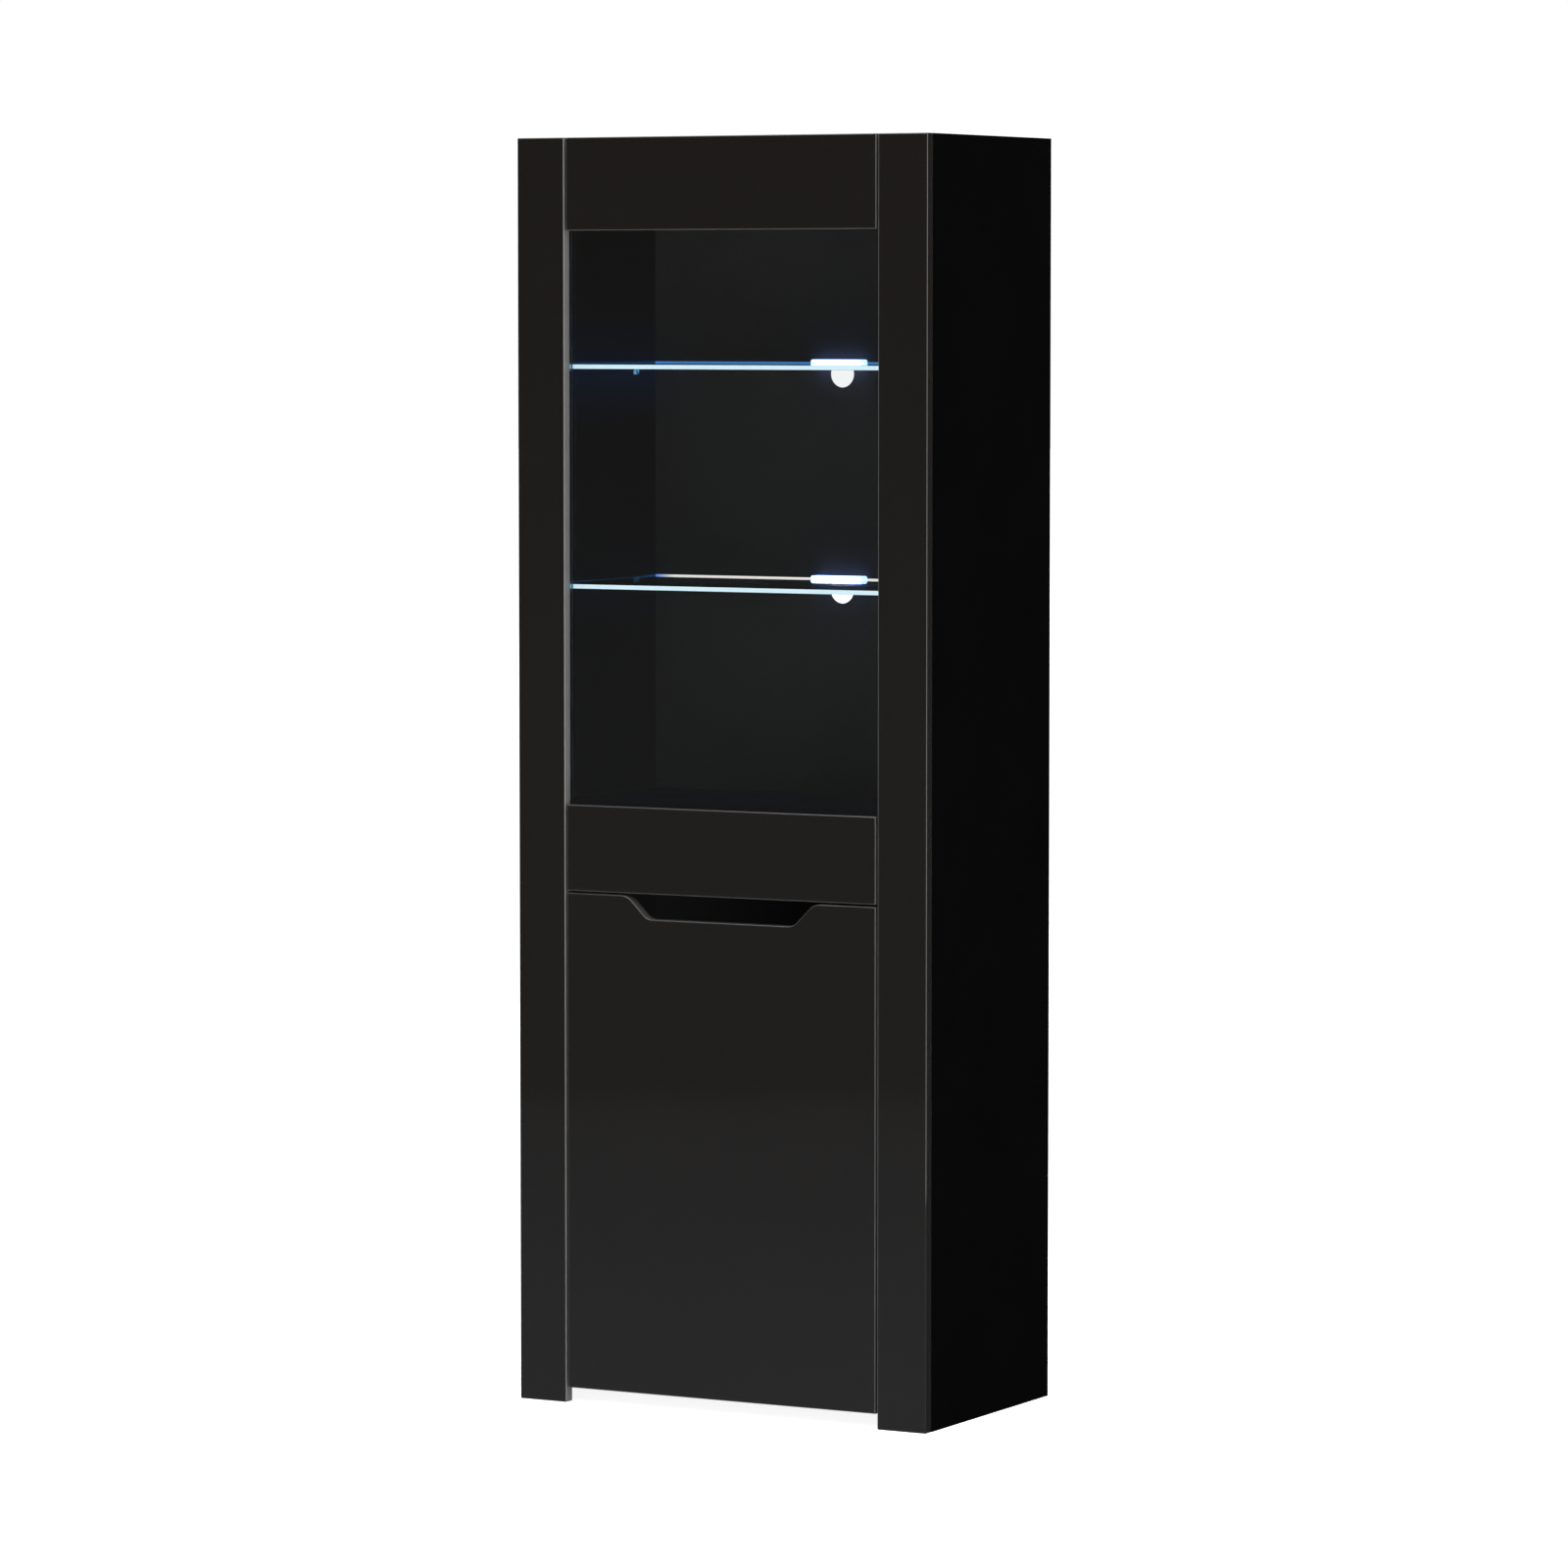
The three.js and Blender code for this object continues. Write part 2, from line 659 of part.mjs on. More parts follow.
// The upper door: two rails held together by a full-width pane let into their rear faces.
function addUpperDoor(group) {
  const door = addGroup(group, [axisX, axisY, upperDoorBottom]);
  const x0 = -axisInset;
  const x1 = x0 + doorWidth;
  const glassBottom = bottomRailHeight - doorGlassLap;
  const glassTop = upperDoorHeight - topRailHeight + doorGlassLap;
  const hinges = {
    bottom: glassBottom / 2,
    top: (glassTop + upperDoorHeight) / 2,
  };
  const rebate = block(
    [x0 - 1, doorBack - doorGlassThickness - glueLine, glassBottom - glueLine],
    [x1 + 1, doorBack + 1, glassTop + glueLine],
  );
  const rails = {
    bottom: [0, bottomRailHeight],
    top: [upperDoorHeight - topRailHeight, upperDoorHeight],
  };
  for (const [place, [z0, z1]] of Object.entries(rails)) {
    const rail = uprightPlate(rectangle(x0, x1, z0, z1), frontThickness, frontEdgeRound);
    rail.translate(0, doorBack, 0);
    const bored = cut(rail, rebate, cupBore(hinges[place]));
    addPiece(door, `upper_door_${place}_rail`, bored, finishes.glossBlack);
  }
  const pane = block(
    [x0 + seam, doorBack - doorGlassThickness, glassBottom],
    [x1 - seam, doorBack, glassTop],
  );
  addPiece(door, 'upper_door_glass', pane, finishes.glass);

  // Each retainer lies half on a rail and half on the edge of the pane.
  const retainers = { left: x0 + retainerInset, right: x1 - retainerInset };
  for (const [edge, z] of Object.entries({ bottom: glassBottom, top: glassTop })) {
    for (const [side, x] of Object.entries(retainers)) {
      const half = [retainerWidth / 2, retainerHeight / 2];
      const outline = roundedRectangle(-half[0], half[0], -half[1], half[1], retainerCornerRadius);
      const plate = uprightPlate(outline, retainerThickness);
      const place = [x, doorBack + seam + retainerThickness, z];
      addPiece(door, `glass_retainer_${edge}_${side}`, plate, finishes.clearPlastic, place);
    }
  }
  for (const [place, height] of Object.entries(hinges)) {
    addHinge(group, door, `upper_door_${place}_hinge`, height, upperDoorBottom);
  }
}

// ---------------------------------------------------------------- Small hardware

function addBumpers(group) {
  const heights = {
    bottom: doorFloorGap + boardThickness / 2,
    middle: displayFloor - boardThickness / 2,
    top: cabinetHeight - boardThickness / 2,
  };
  for (const [place, z] of Object.entries(heights)) {
    const disc = bar('y', bumperDiameter / 2, bumperThickness, [0, 0, 0], roundSegments);
    const centre = [doorRight - bumperInset, panelFront - seam - bumperThickness / 2, z];
    addPiece(group, `${place}_bumper`, disc, finishes.clearPlastic, centre);
  }
}

// Angle brackets under the top panel, in the space behind the back board.
function addWallBrackets(group) {
  const leg = backBoardInset - 1;
  const half = bracketWidth / 2;
  for (const side of sides) {
    const flat = block([-half, -leg, -bracketThickness], [half, 0, 0]);
    const upright = block([-half, -bracketThickness, -bracketLeg], [half, 0, 0]);
    const holeCentre = [0, 0, -bracketHoleDrop];
    const hole = bar('y', bracketHoleDiameter / 2, 4 * bracketThickness, holeCentre);
    const bracket = cut(join(flat, upright), hole);
    const place = [side.x + side.inward * bracketInset, rear, displayCeiling - seam];
    addPiece(group, `wall_bracket_${side.place}`, bracket, finishes.zinc, place);
  }
}

// ---------------------------------------------------------------- The cabinet

const cabinet = new THREE.Group();
for (const side of sides) {
  addSidePanel(cabinet, side);
}
addPosts(cabinet);
addCrossPanels(cabinet);
addBackBoards(cabinet);
addWoodenShelf(cabinet);
for (const shelf of glassShelves) {
  addGlassShelf(cabinet, shelf);
  addShelfLight(cabinet, shelf);
}
addLowerDoor(cabinet);
addUpperDoor(cabinet);
addBumpers(cabinet);
addWallBrackets(cabinet);

export default cabinet;
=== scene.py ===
"""A tall china cabinet: finishes and finely made pieces, built round the fixed CAD frame. Metres."""

import json
from math import cos, pi, radians, sin, tan

import bmesh
import bpy
from mathutils import Matrix, Vector

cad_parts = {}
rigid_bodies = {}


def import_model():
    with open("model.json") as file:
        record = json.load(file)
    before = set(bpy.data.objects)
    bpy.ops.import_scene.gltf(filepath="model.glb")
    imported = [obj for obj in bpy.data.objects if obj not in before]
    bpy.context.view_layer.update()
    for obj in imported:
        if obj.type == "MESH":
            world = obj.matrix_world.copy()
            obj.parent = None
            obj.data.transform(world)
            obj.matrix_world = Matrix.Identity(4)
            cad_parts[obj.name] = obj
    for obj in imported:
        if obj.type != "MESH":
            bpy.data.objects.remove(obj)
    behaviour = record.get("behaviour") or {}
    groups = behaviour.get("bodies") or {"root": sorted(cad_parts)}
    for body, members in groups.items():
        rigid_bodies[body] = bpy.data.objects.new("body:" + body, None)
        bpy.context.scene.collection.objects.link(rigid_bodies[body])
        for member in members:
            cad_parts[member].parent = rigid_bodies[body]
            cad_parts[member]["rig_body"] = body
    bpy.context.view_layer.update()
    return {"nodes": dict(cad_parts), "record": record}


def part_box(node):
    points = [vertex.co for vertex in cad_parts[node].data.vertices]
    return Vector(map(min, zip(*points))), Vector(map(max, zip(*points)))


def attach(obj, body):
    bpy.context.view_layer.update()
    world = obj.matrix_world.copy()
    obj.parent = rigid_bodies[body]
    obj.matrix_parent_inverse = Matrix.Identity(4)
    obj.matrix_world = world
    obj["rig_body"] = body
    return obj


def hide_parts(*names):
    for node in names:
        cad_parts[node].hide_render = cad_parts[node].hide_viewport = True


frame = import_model()

MM = 0.001
SIDES = ("left", "right")
ENDS = ("bottom", "top")
LEVELS = ("lower", "upper")
DOORS = ("lower_door", "upper_door")
HINGES = [f"{door}_{end}_hinge" for door in DOORS for end in ENDS]


# ------------------------------------------------------------------ camera

def set_camera():
    lens = bpy.data.cameras.new("camera")
    lens.lens = 156.88
    lens.sensor_width = 36
    lens.clip_end = 100
    camera = bpy.data.objects.new("camera", lens)
    camera.location = (4.2665, -7.8299, 1.4328)
    camera.rotation_euler = (radians(85.9976), 0, radians(28.59))
    bpy.context.collection.objects.link(camera)
    bpy.context.scene.camera = camera


set_camera()


# ------------------------------------------------------------------ shader writing

class Signal:
    """The output socket of a shader node. Arithmetic on it adds Math nodes."""

    def __init__(self, finish, socket):
        self.finish = finish
        self.socket = socket

    def math(self, operation, *values):
        return self.finish.node("ShaderNodeMath", {"operation": operation}, dict(enumerate(values)))

    def __add__(self, other):
        return self.math("ADD", self, other)

    def __sub__(self, other):
        return self.math("SUBTRACT", self, other)

    def __rsub__(self, other):
        return self.math("SUBTRACT", other, self)

    def __mul__(self, other):
        return self.math("MULTIPLY", self, other)

    def __abs__(self):
        return self.math("ABSOLUTE", self)

    def above(self, other):
        return self.math("GREATER_THAN", self, other)

    def most(self, other):
        return self.math("MAXIMUM", self, other)

    __radd__ = __add__
    __rmul__ = __mul__


class Finish:
    """A node tree, of a material or of the world, and the ways to write it."""

    def __init__(self, owner):
        owner.use_nodes = True
        self.owner = owner
        self.tree = owner.node_tree
        self.tree.nodes.clear()

    def node(self, kind, settings=None, inputs=None, output=0):
        made = self.tree.nodes.new(kind)
        for key, value in (settings or {}).items():
            if key == "stops":
                set_stops(made.color_ramp, value)
            else:
                setattr(made, key, value)
        for key, value in (inputs or {}).items():
            if isinstance(value, Signal):
                self.tree.links.new(value.socket, made.inputs[key])
            else:
                made.inputs[key].default_value = value
        return Signal(self, made.outputs[output]) if made.outputs else made

    def place(self):
        return self.node("ShaderNodeTexCoord", output="Object")

    def axes(self, place):
        split = self.node("ShaderNodeSeparateXYZ", inputs={0: place})
        return [Signal(self, socket) for socket in split.socket.node.outputs]

    def stretched(self, place, factors):
        return self.node("ShaderNodeMapping", inputs={"Vector": place, "Scale": factors})

    def noise(self, place, scale, detail=2.0, roughness=0.5):
        inputs = {"Vector": place, "Scale": scale, "Detail": detail, "Roughness": roughness}
        return self.node("ShaderNodeTexNoise", inputs=inputs)

    def cells(self, place, scale):
        """A colour of its own for each cell of a random pattern."""
        return self.node("ShaderNodeTexVoronoi", inputs={"Vector": place, "Scale": scale}, output="Color")

    def fit(self, value, low, high, to_low=0.0, to_high=1.0):
        inputs = {"Value": value, "From Min": low, "From Max": high, "To Min": to_low, "To Max": to_high}
        return self.node("ShaderNodeMapRange", inputs=inputs)

    def blend(self, share, first, second):
        return self.node("ShaderNodeMix", {"data_type": "RGBA"}, {0: share, 6: first, 7: second}, output=2)

    def bump(self, height, distance):
        return self.node("ShaderNodeBump", inputs={"Height": height, "Distance": distance})

    def body(self, **inputs):
        """The main shader; base_color sets its Base Color, and so on."""
        named = {key.replace("_", " ").title().replace("Ior", "IOR"): value for key, value in inputs.items()}
        return self.node("ShaderNodeBsdfPrincipled", inputs=named)

    def show(self, shader, output="ShaderNodeOutputMaterial"):
        self.node(output, inputs={"Surface": shader})
        return self.owner


def set_stops(ramp, stops):
    while len(ramp.elements) < len(stops):
        ramp.elements.new(1)
    for element, (place, colour) in zip(ramp.elements, stops):
        element.position = place
        element.color = colour


def new_finish(name):
    return Finish(bpy.data.materials.new(name))


def tint(red, green, blue):
    return (red, green, blue, 1.0)


# ------------------------------------------------------------------ finishes of the cabinet

def gloss_film():
    """Black high-gloss film on fibreboard: slight orange peel, wiping marks and dust."""
    finish = new_finish("gloss_black_film")
    place = finish.place()
    clouds = finish.noise(place, 6, 3)
    wipes = finish.noise(finish.stretched(place, (2, 2, 9)), 5, 4, 0.6)
    dust = finish.fit(finish.noise(place, 1400, 1), 0.74, 0.8)
    peel = finish.noise(place, 240, 1)
    colour = finish.blend(clouds, tint(0.0046, 0.0041, 0.0036), tint(0.0056, 0.0051, 0.0045))
    colour = finish.blend(dust * 0.4, colour, tint(0.04, 0.04, 0.04))
    roughness = finish.fit(wipes, 0.35, 0.75, 0.012, 0.03) + dust * 0.2
    return finish.show(finish.body(
        base_color=colour, roughness=roughness, ior=1.5, normal=finish.bump(peel, 0.000003),
    ))


def gloss_edge_painted_highlight(name, shade):
    """The same film stretched round an edge, where it is satin and catches the light; its colour is also
    lighter than the film's, a painted highlight.
    """
    finish = new_finish(name)
    place = finish.place()
    clouds = finish.noise(place, 40, 3)
    grain = finish.noise(place, 900, 2)
    # A lighter black than the flat film's: painted highlight along the edges.
    dark = tint(shade, shade * 0.97, shade * 0.95)
    pale = tint(shade * 1.3, shade * 1.28, shade * 1.26)
    colour = finish.blend(clouds, dark, pale)
    roughness = finish.fit(grain, 0.3, 0.7, 0.3, 0.42)
    return finish.show(finish.body(
        base_color=colour, roughness=roughness, ior=1.5, normal=finish.bump(grain, 0.000004),
    ))


SPILL_REACH = 100 * MM
SPILL_STRENGTHS = (0.2, 1.0)
SPILL_RISE = 0.7 * MM
SPILL_LINE = (0.6 * MM, 1.3 * MM)
FACE_EDGE = 0.5 * MM
DARK = tint(0, 0, 0)


def shelf_spill(finish, tops, height):
    """Blue light from the glass shelves, caught on the boards round them: a line and a wide haze."""
    line = 0.0
    haze = 0.0
    for top, strength in zip(tops, SPILL_STRENGTHS):
        above = height - (top + SPILL_RISE)
        line = finish.fit(abs(above), *SPILL_LINE, 1, 0) + line
        below = finish.fit(above, -2 * MM, 2 * MM, strength, strength * 0.4)
        wide = finish.fit(abs(above), 0.0, SPILL_REACH, 1, 0)
        haze = wide * wide * below + haze
    return line, haze


def at_upper_shelf(finish, tops, height):
    """One from a little above the lower shelf, and nought below."""
    return finish.fit(height, tops[0] + 50 * MM, tops[0] + 60 * MM)


def matt_melamine(name, tops=(), painted_floor_glow=0.0):
    """Black melamine with a fine pearl emboss, which the lit shelves may colour. Given shelf tops, the inner
    faces get painted light: a far lighter black, an even glow and the shelves' blue line and haze, while the
    outer faces get a darker black than the plain melamine; otherwise an even bluish painted glow may cover
    all faces.
    """
    finish = new_finish(name)
    place = finish.place()
    pearl = finish.noise(place, 750, 2, 0.6)
    cloud = finish.noise(place, 12, 4)
    colour = finish.blend(cloud, tint(0.0022, 0.0022, 0.0022), tint(0.0029, 0.0029, 0.0029))
    roughness = finish.fit(pearl + cloud * 0.3, 0.4, 0.9, 0.5, 0.7)
    # An even bluish glow on all faces: painted light.
    glow = tint(painted_floor_glow, painted_floor_glow, painted_floor_glow * 1.3)
    if tops:
        # With shelf tops, a darker black than the plain melamine, seen on the outer faces.
        colour = finish.blend(cloud, tint(0.0008, 0.0008, 0.0008), tint(0.0012, 0.0012, 0.0012))
        across, depth, height = finish.axes(place)
        line, haze = shelf_spill(finish, tops, height)
        # The faces inside the cabinet, which get the painted light below.
        inner = finish.fit(abs(across), inner_x - FACE_EDGE, inner_x + FACE_EDGE, 1, 0)
        inner = inner * finish.fit(depth, back_low.y - FACE_EDGE, back_low.y + FACE_EDGE, 1, 0)
        rearward = finish.fit(depth, back_low.y - 60 * MM, back_low.y - 10 * MM)
        line = line * inner * at_upper_shelf(finish, tops, height).most(rearward)
        # Painted light: an even glow on the inner faces, then the painted blue line and haze of the shelves.
        glow = finish.blend(inner, DARK, tint(0.0078, 0.0078, 0.0079))
        glow = finish.blend(line, glow, tint(0.004, 0.05, 0.17))
        glow = finish.blend(haze * inner * 0.09, glow, tint(0.0, 0.12, 0.42))
        # A far lighter black on the inner faces: painted light, not the board's own colour.
        painted_light_black = finish.blend(cloud, tint(0.016, 0.016, 0.0163), tint(0.020, 0.020, 0.0204))
        colour = finish.blend(inner, colour, painted_light_black)
    return finish.show(finish.body(
        base_color=colour, roughness=roughness, specular_ior_level=0.012,
        emission_color=glow, emission_strength=1.0, normal=finish.bump(pearl, 0.00002),
    ))


def back_board_glow(finish, tops, across, height):
    """The light on the back board: a line at each shelf, a blue haze at the left, and a faint wash."""
    line, haze = shelf_spill(finish, tops, height)
    near_side = finish.fit(across, -inner_x, -inner_x + 90 * MM, 1, 0)
    from_side = finish.fit(across, -inner_x, -inner_x + 30 * MM)
    line_colour = finish.blend(
        at_upper_shelf(finish, tops, height), tint(1.0, 0.93, 0.88), tint(0.045, 0.2, 0.5),
    )
    line_colour = finish.blend(from_side, tint(0.05, 0.2, 0.7), line_colour)
    leftward = finish.fit(across, -inner_x, 0.0, 0.0045, 0)
    rightward = finish.fit(across, 0.04, 0.16, 0, 0.006)
    upward = finish.fit(height, tops[1] - 50 * MM, tops[1] + 150 * MM, 0, 0.003)
    glow = finish.blend(leftward + rightward + upward, DARK, tint(1, 1, 1))
    glow = finish.blend(line, glow, line_colour)
    return finish.blend(haze * near_side * 0.015, glow, tint(0.0, 0.12, 0.5))


def hardboard(rear_y, tops):
    """Thin hardboard: black inside, bare brown fibre on the rear face."""
    finish = new_finish("hardboard")
    place = finish.place()
    across, depth, height = finish.axes(place)
    bare = depth.above(rear_y - 0.2 * MM)
    # The black inner face carries the shelves' light as emission: painted light.
    glow = finish.blend(bare, back_board_glow(finish, tops, across, height), DARK)
    fibre = finish.noise(place, 420, 5, 0.7)
    felt = finish.noise(finish.stretched(place, (1, 1, 0.35)), 900, 3, 0.7)
    cloud = finish.noise(place, 5, 3)
    flecks = finish.fit(finish.noise(finish.stretched(place, (1, 1, 3)), 150, 4, 0.7), 0.45, 0.7)
    brown = finish.blend(fibre, tint(0.05, 0.026, 0.013), tint(0.15, 0.082, 0.042))
    brown = finish.blend(flecks * 0.6, brown, tint(0.17, 0.1, 0.056))
    brown = finish.blend(finish.fit(cloud, 0.35, 0.65) * 0.5, brown, tint(0.075, 0.042, 0.023))
    black = finish.blend(felt, tint(0.020, 0.0198, 0.0198), tint(0.025, 0.0248, 0.0248))
    roughness = finish.fit(fibre, 0.3, 0.7, 0.62, 0.82)
    return finish.show(finish.body(
        base_color=finish.blend(bare, black, brown), roughness=roughness, specular_ior_level=0.2,
        emission_color=glow, emission_strength=1.0,
        normal=finish.bump(fibre * bare + felt * 0.4, 0.00005),
    ))


def thin_glass():
    """The flat door pane: clear straight through, with the mirror gloss of its two faces."""
    finish = new_finish("door_glass")
    place = finish.place()
    wave = finish.noise(place, 7, 1)
    dust = finish.fit(finish.noise(place, 1500, 1), 0.76, 0.8)
    flat = finish.bump(wave, 0.000004)
    tinted = finish.blend(dust * 0.3, tint(0.972, 0.984, 0.98), tint(0.9, 0.9, 0.9))
    clear = finish.node("ShaderNodeBsdfTransparent", inputs={"Color": tinted})
    gloss = {"Color": tint(0.46, 0.48, 0.52), "Roughness": 0.0, "Normal": flat}
    mirror = finish.node("ShaderNodeBsdfGlossy", inputs=gloss)
    share = finish.node("ShaderNodeFresnel", inputs={"IOR": 1.5, "Normal": flat})
    return finish.show(finish.node("ShaderNodeMixShader", inputs={0: share, 1: clear, 2: mirror}))


def pane_edge():
    """The ground side edges of the pane, seen into the depth of the glass."""
    finish = new_finish("pane_edge")
    place = finish.place()
    frost = finish.noise(place, 900, 2)
    colour = finish.blend(frost, tint(0.085, 0.095, 0.100), tint(0.110, 0.120, 0.126))
    roughness = finish.fit(frost, 0.3, 0.7, 0.3, 0.42)
    return finish.show(finish.body(
        base_color=colour, roughness=roughness, normal=finish.bump(frost, 0.000006),
    ))


def let_lamps_through(finish, glass):
    """Glass that doesn't hold back the light of lamps behind it."""
    lamp_ray = finish.node("ShaderNodeLightPath", output="Is Shadow Ray")
    clear = finish.node("ShaderNodeBsdfTransparent", inputs={"Color": tint(0.92, 0.95, 0.95)})
    return finish.node("ShaderNodeMixShader", inputs={0: lamp_ray, 1: glass, 2: clear})


def clear_glass():
    """Float glass, very slightly wavy."""
    finish = new_finish("clear_glass")
    place = finish.place()
    wave = finish.noise(place, 7, 1)
    colour = finish.blend(wave, tint(0.965, 0.985, 0.982), tint(0.975, 0.99, 0.988))
    glass = finish.body(
        base_color=colour, roughness=0.0, ior=1.5, transmission_weight=1.0,
        normal=finish.bump(wave, 0.00001),
    )
    return finish.show(let_lamps_through(finish, glass))


COOL_END = (46 * MM, 41 * MM)


def lit_glass_edge(high_x, front_y, rear_y):
    """The polished edge of a glass shelf, where the light that enters at its rear comes out."""
    finish = new_finish("lit_glass_edge")
    place = finish.place()
    across, depth, _ = finish.axes(place)
    at_front = finish.fit(depth, front_y + 0.8 * MM, front_y + 2 * MM, 1, 0)
    clear_of_end = finish.fit(abs(across), *[high_x - inset for inset in COOL_END], 1, 0)
    at_rear = depth.above(rear_y - 1.5 * MM)
    ripple = finish.noise(finish.stretched(place, (1, 1, 0.1)), 60, 3)
    front = finish.blend(clear_of_end, tint(0.10, 0.46, 0.66), tint(0.70, 0.87, 0.96))
    rest = finish.blend(at_rear, tint(0.02, 0.16, 0.42), tint(0.16, 0.42, 0.72))
    glow = finish.blend(at_front, rest, front)
    glow = finish.blend(ripple * 0.25, glow, tint(0.3, 0.6, 0.8))
    return finish.show(finish.body(
        base_color=tint(0.2, 0.27, 0.28), roughness=0.12, ior=1.5,
        emission_color=glow, emission_strength=1.0,
        normal=finish.bump(ripple, 0.00001),
    ))


def nickel(name, by_lit_shelf=False):
    """Nickel plate on pressed steel, on which a lit shelf above it may paint blue glints: painted
    highlights, as emission.
    """
    finish = new_finish(name)
    place = finish.place()
    drawn = finish.noise(finish.stretched(place, (1, 1, 14)), 500, 2)
    cloud = finish.noise(place, 60, 3)
    colour = finish.blend(cloud, tint(0.56, 0.545, 0.52), tint(0.68, 0.67, 0.65))
    roughness = finish.fit(drawn + cloud * 0.5, 0.4, 1.1, 0.2, 0.36)
    glow = DARK
    if by_lit_shelf:
        # Painted glints: speckles of blue shelf light, as emission.
        glint = finish.fit(finish.noise(place, 170, 1), 0.42, 0.52)
        glow = finish.blend(glint, tint(0.01, 0.05, 0.11), tint(0.09, 0.3, 0.55))
    return finish.show(finish.body(
        base_color=colour, metallic=1.0, roughness=roughness, emission_color=glow, emission_strength=1.0,
        normal=finish.bump(drawn, 0.000006),
    ))


def zinc():
    """Zinc plate with a faint spangle."""
    finish = new_finish("zinc_plate")
    place = finish.place()
    spangle = finish.cells(place, 160)
    haze = finish.noise(place, 90, 3)
    shade = finish.axes(spangle)[0]
    colour = finish.blend(shade * 0.6 + haze * 0.4, tint(0.46, 0.47, 0.5), tint(0.62, 0.63, 0.64))
    return finish.show(finish.body(
        base_color=colour, metallic=1.0, roughness=finish.fit(haze, 0.3, 0.7, 0.34, 0.52),
        normal=finish.bump(haze, 0.00001),
    ))


def moulded_plastic(name, dark, light, transmission=0.0):
    """Moulded plastic with a fine spark-eroded grain."""
    finish = new_finish(name)
    place = finish.place()
    grain = finish.noise(place, 1600, 2, 0.6)
    cloud = finish.noise(place, 90, 2)
    return finish.show(finish.body(
        base_color=finish.blend(cloud, dark, light), roughness=finish.fit(grain, 0.3, 0.7, 0.3, 0.48),
        transmission_weight=transmission, normal=finish.bump(grain, 0.00001),
    ))


DIODES_EACH_SIDE = 3


def light_diffuser(half_width):
    """The frosted body of a shelf light, brightest where the diodes are."""
    finish = new_finish("light_diffuser")
    place = finish.place()
    across, _, _ = finish.axes(place)
    phase = across * (2 * pi * DIODES_EACH_SIDE / half_width)
    wave = phase.math("COSINE", phase)
    frost = finish.noise(place, 1200, 2)
    end = finish.fit(abs(across), half_width - 4 * MM, half_width, 1, 0.25)
    near_diode = finish.fit(wave + frost * 0.3, -1, 1.3)
    glow = finish.blend(near_diode, tint(0.22, 0.36, 0.86), tint(0.28, 0.46, 1.0))
    glow = finish.blend(end, tint(0.08, 0.12, 0.3), glow)
    return finish.show(finish.body(
        base_color=tint(0.82, 0.9, 0.95), roughness=0.45,
        emission_color=glow, emission_strength=5.0,
        normal=finish.bump(frost, 0.00001),
    ))


def circuit_board():
    """White solder mask over copper tracks."""
    finish = new_finish("circuit_board")
    place = finish.place()
    across, _, height = finish.axes(place)
    weave = finish.noise(place, 900, 2)
    copper = height.math("PINGPONG", height, 1.5 * MM).above(1.25 * MM)
    mask = finish.blend(weave, tint(0.72, 0.73, 0.7), tint(0.82, 0.83, 0.8))
    colour = finish.blend(copper * 0.6, mask, tint(0.62, 0.5, 0.3))
    return finish.show(finish.body(
        base_color=colour, roughness=finish.fit(weave, 0.3, 0.7, 0.35, 0.5),
        specular_ior_level=0.4, normal=finish.bump(copper + weave * 0.1, 0.00003),
    ))


back_low, back_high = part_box("upper_back_board")
shelf_low, shelf_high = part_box("upper_glass_shelf")
inner_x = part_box("right_side_panel")[0].x
SHELF_TOPS = [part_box(f"{level}_glass_shelf")[1].z for level in LEVELS]

FINISHES = {
    "gloss_black_board": gloss_film(),
    "matt_black_board": matt_melamine("matt_black_melamine"),
    "back_board": hardboard(back_high.y, SHELF_TOPS),
    "clear_glass": clear_glass(),
    "nickel_steel": nickel("nickel_plate"),
    "zinc_steel": zinc(),
    "light_diffuser": light_diffuser(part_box("upper_light_clip")[1].x),
    "circuit_board": circuit_board(),
    "clear_plastic": moulded_plastic("clear_plastic", tint(0.62, 0.65, 0.66), tint(0.72, 0.74, 0.75), 0.5),
    "black_plastic": moulded_plastic("black_plastic", tint(0.006, 0.006, 0.006), tint(0.01, 0.01, 0.01)),
}
# Edge blacks lighter than the film: painted highlights, the paler one on the posts' sides next to the doors.
GLOSS_EDGE_PAINTED_HIGHLIGHT = gloss_edge_painted_highlight("gloss_black_edge_painted_highlight", 0.038)
# The paler black for the posts' sides next to the doors: painted highlight.
POST_SIDE_PAINTED_HIGHLIGHT = gloss_edge_painted_highlight("gloss_post_side_painted_highlight", 0.095)
# Side panels with painted light of the shelves on their inner faces.
LIT_SIDE = matt_melamine("matt_black_melamine_lit", SHELF_TOPS)
# The middle panel, the floor of the display, with an even painted glow: painted light.
LIT_FLOOR = matt_melamine("matt_black_melamine_floor", painted_floor_glow=0.0034)
DOOR_GLASS = thin_glass()
PANE_EDGE = pane_edge()
LIT_NICKEL = nickel("nickel_by_shelf_light", by_lit_shelf=True)
LIT_EDGE = lit_glass_edge(shelf_high.x, shelf_low.y, shelf_high.y)

for part in frame["record"]["subparts"]:
    shown = frame["nodes"][part["node"]]
    shown.data.materials.clear()
    shown.data.materials.append(FINISHES[part["material_slot"]])

BODY_OF = {name: shown["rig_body"] for name, shown in frame["nodes"].items()}
SLOT_OF = {part["node"]: part["material_slot"] for part in frame["record"]["subparts"]}


# ------------------------------------------------------------------ shaping

TOUCH = 1e-6
WELD = 2e-6
SLIVER = 0.05 * MM
SHARP = radians(35)
SMOOTH = radians(40)
BORE_STEPS = 32
TURN_STEPS = 28
FRONT_ROUND = 1.5 * MM
ROUND_STEPS = 5


def at(*place):
    return Matrix.Translation(Vector(place))


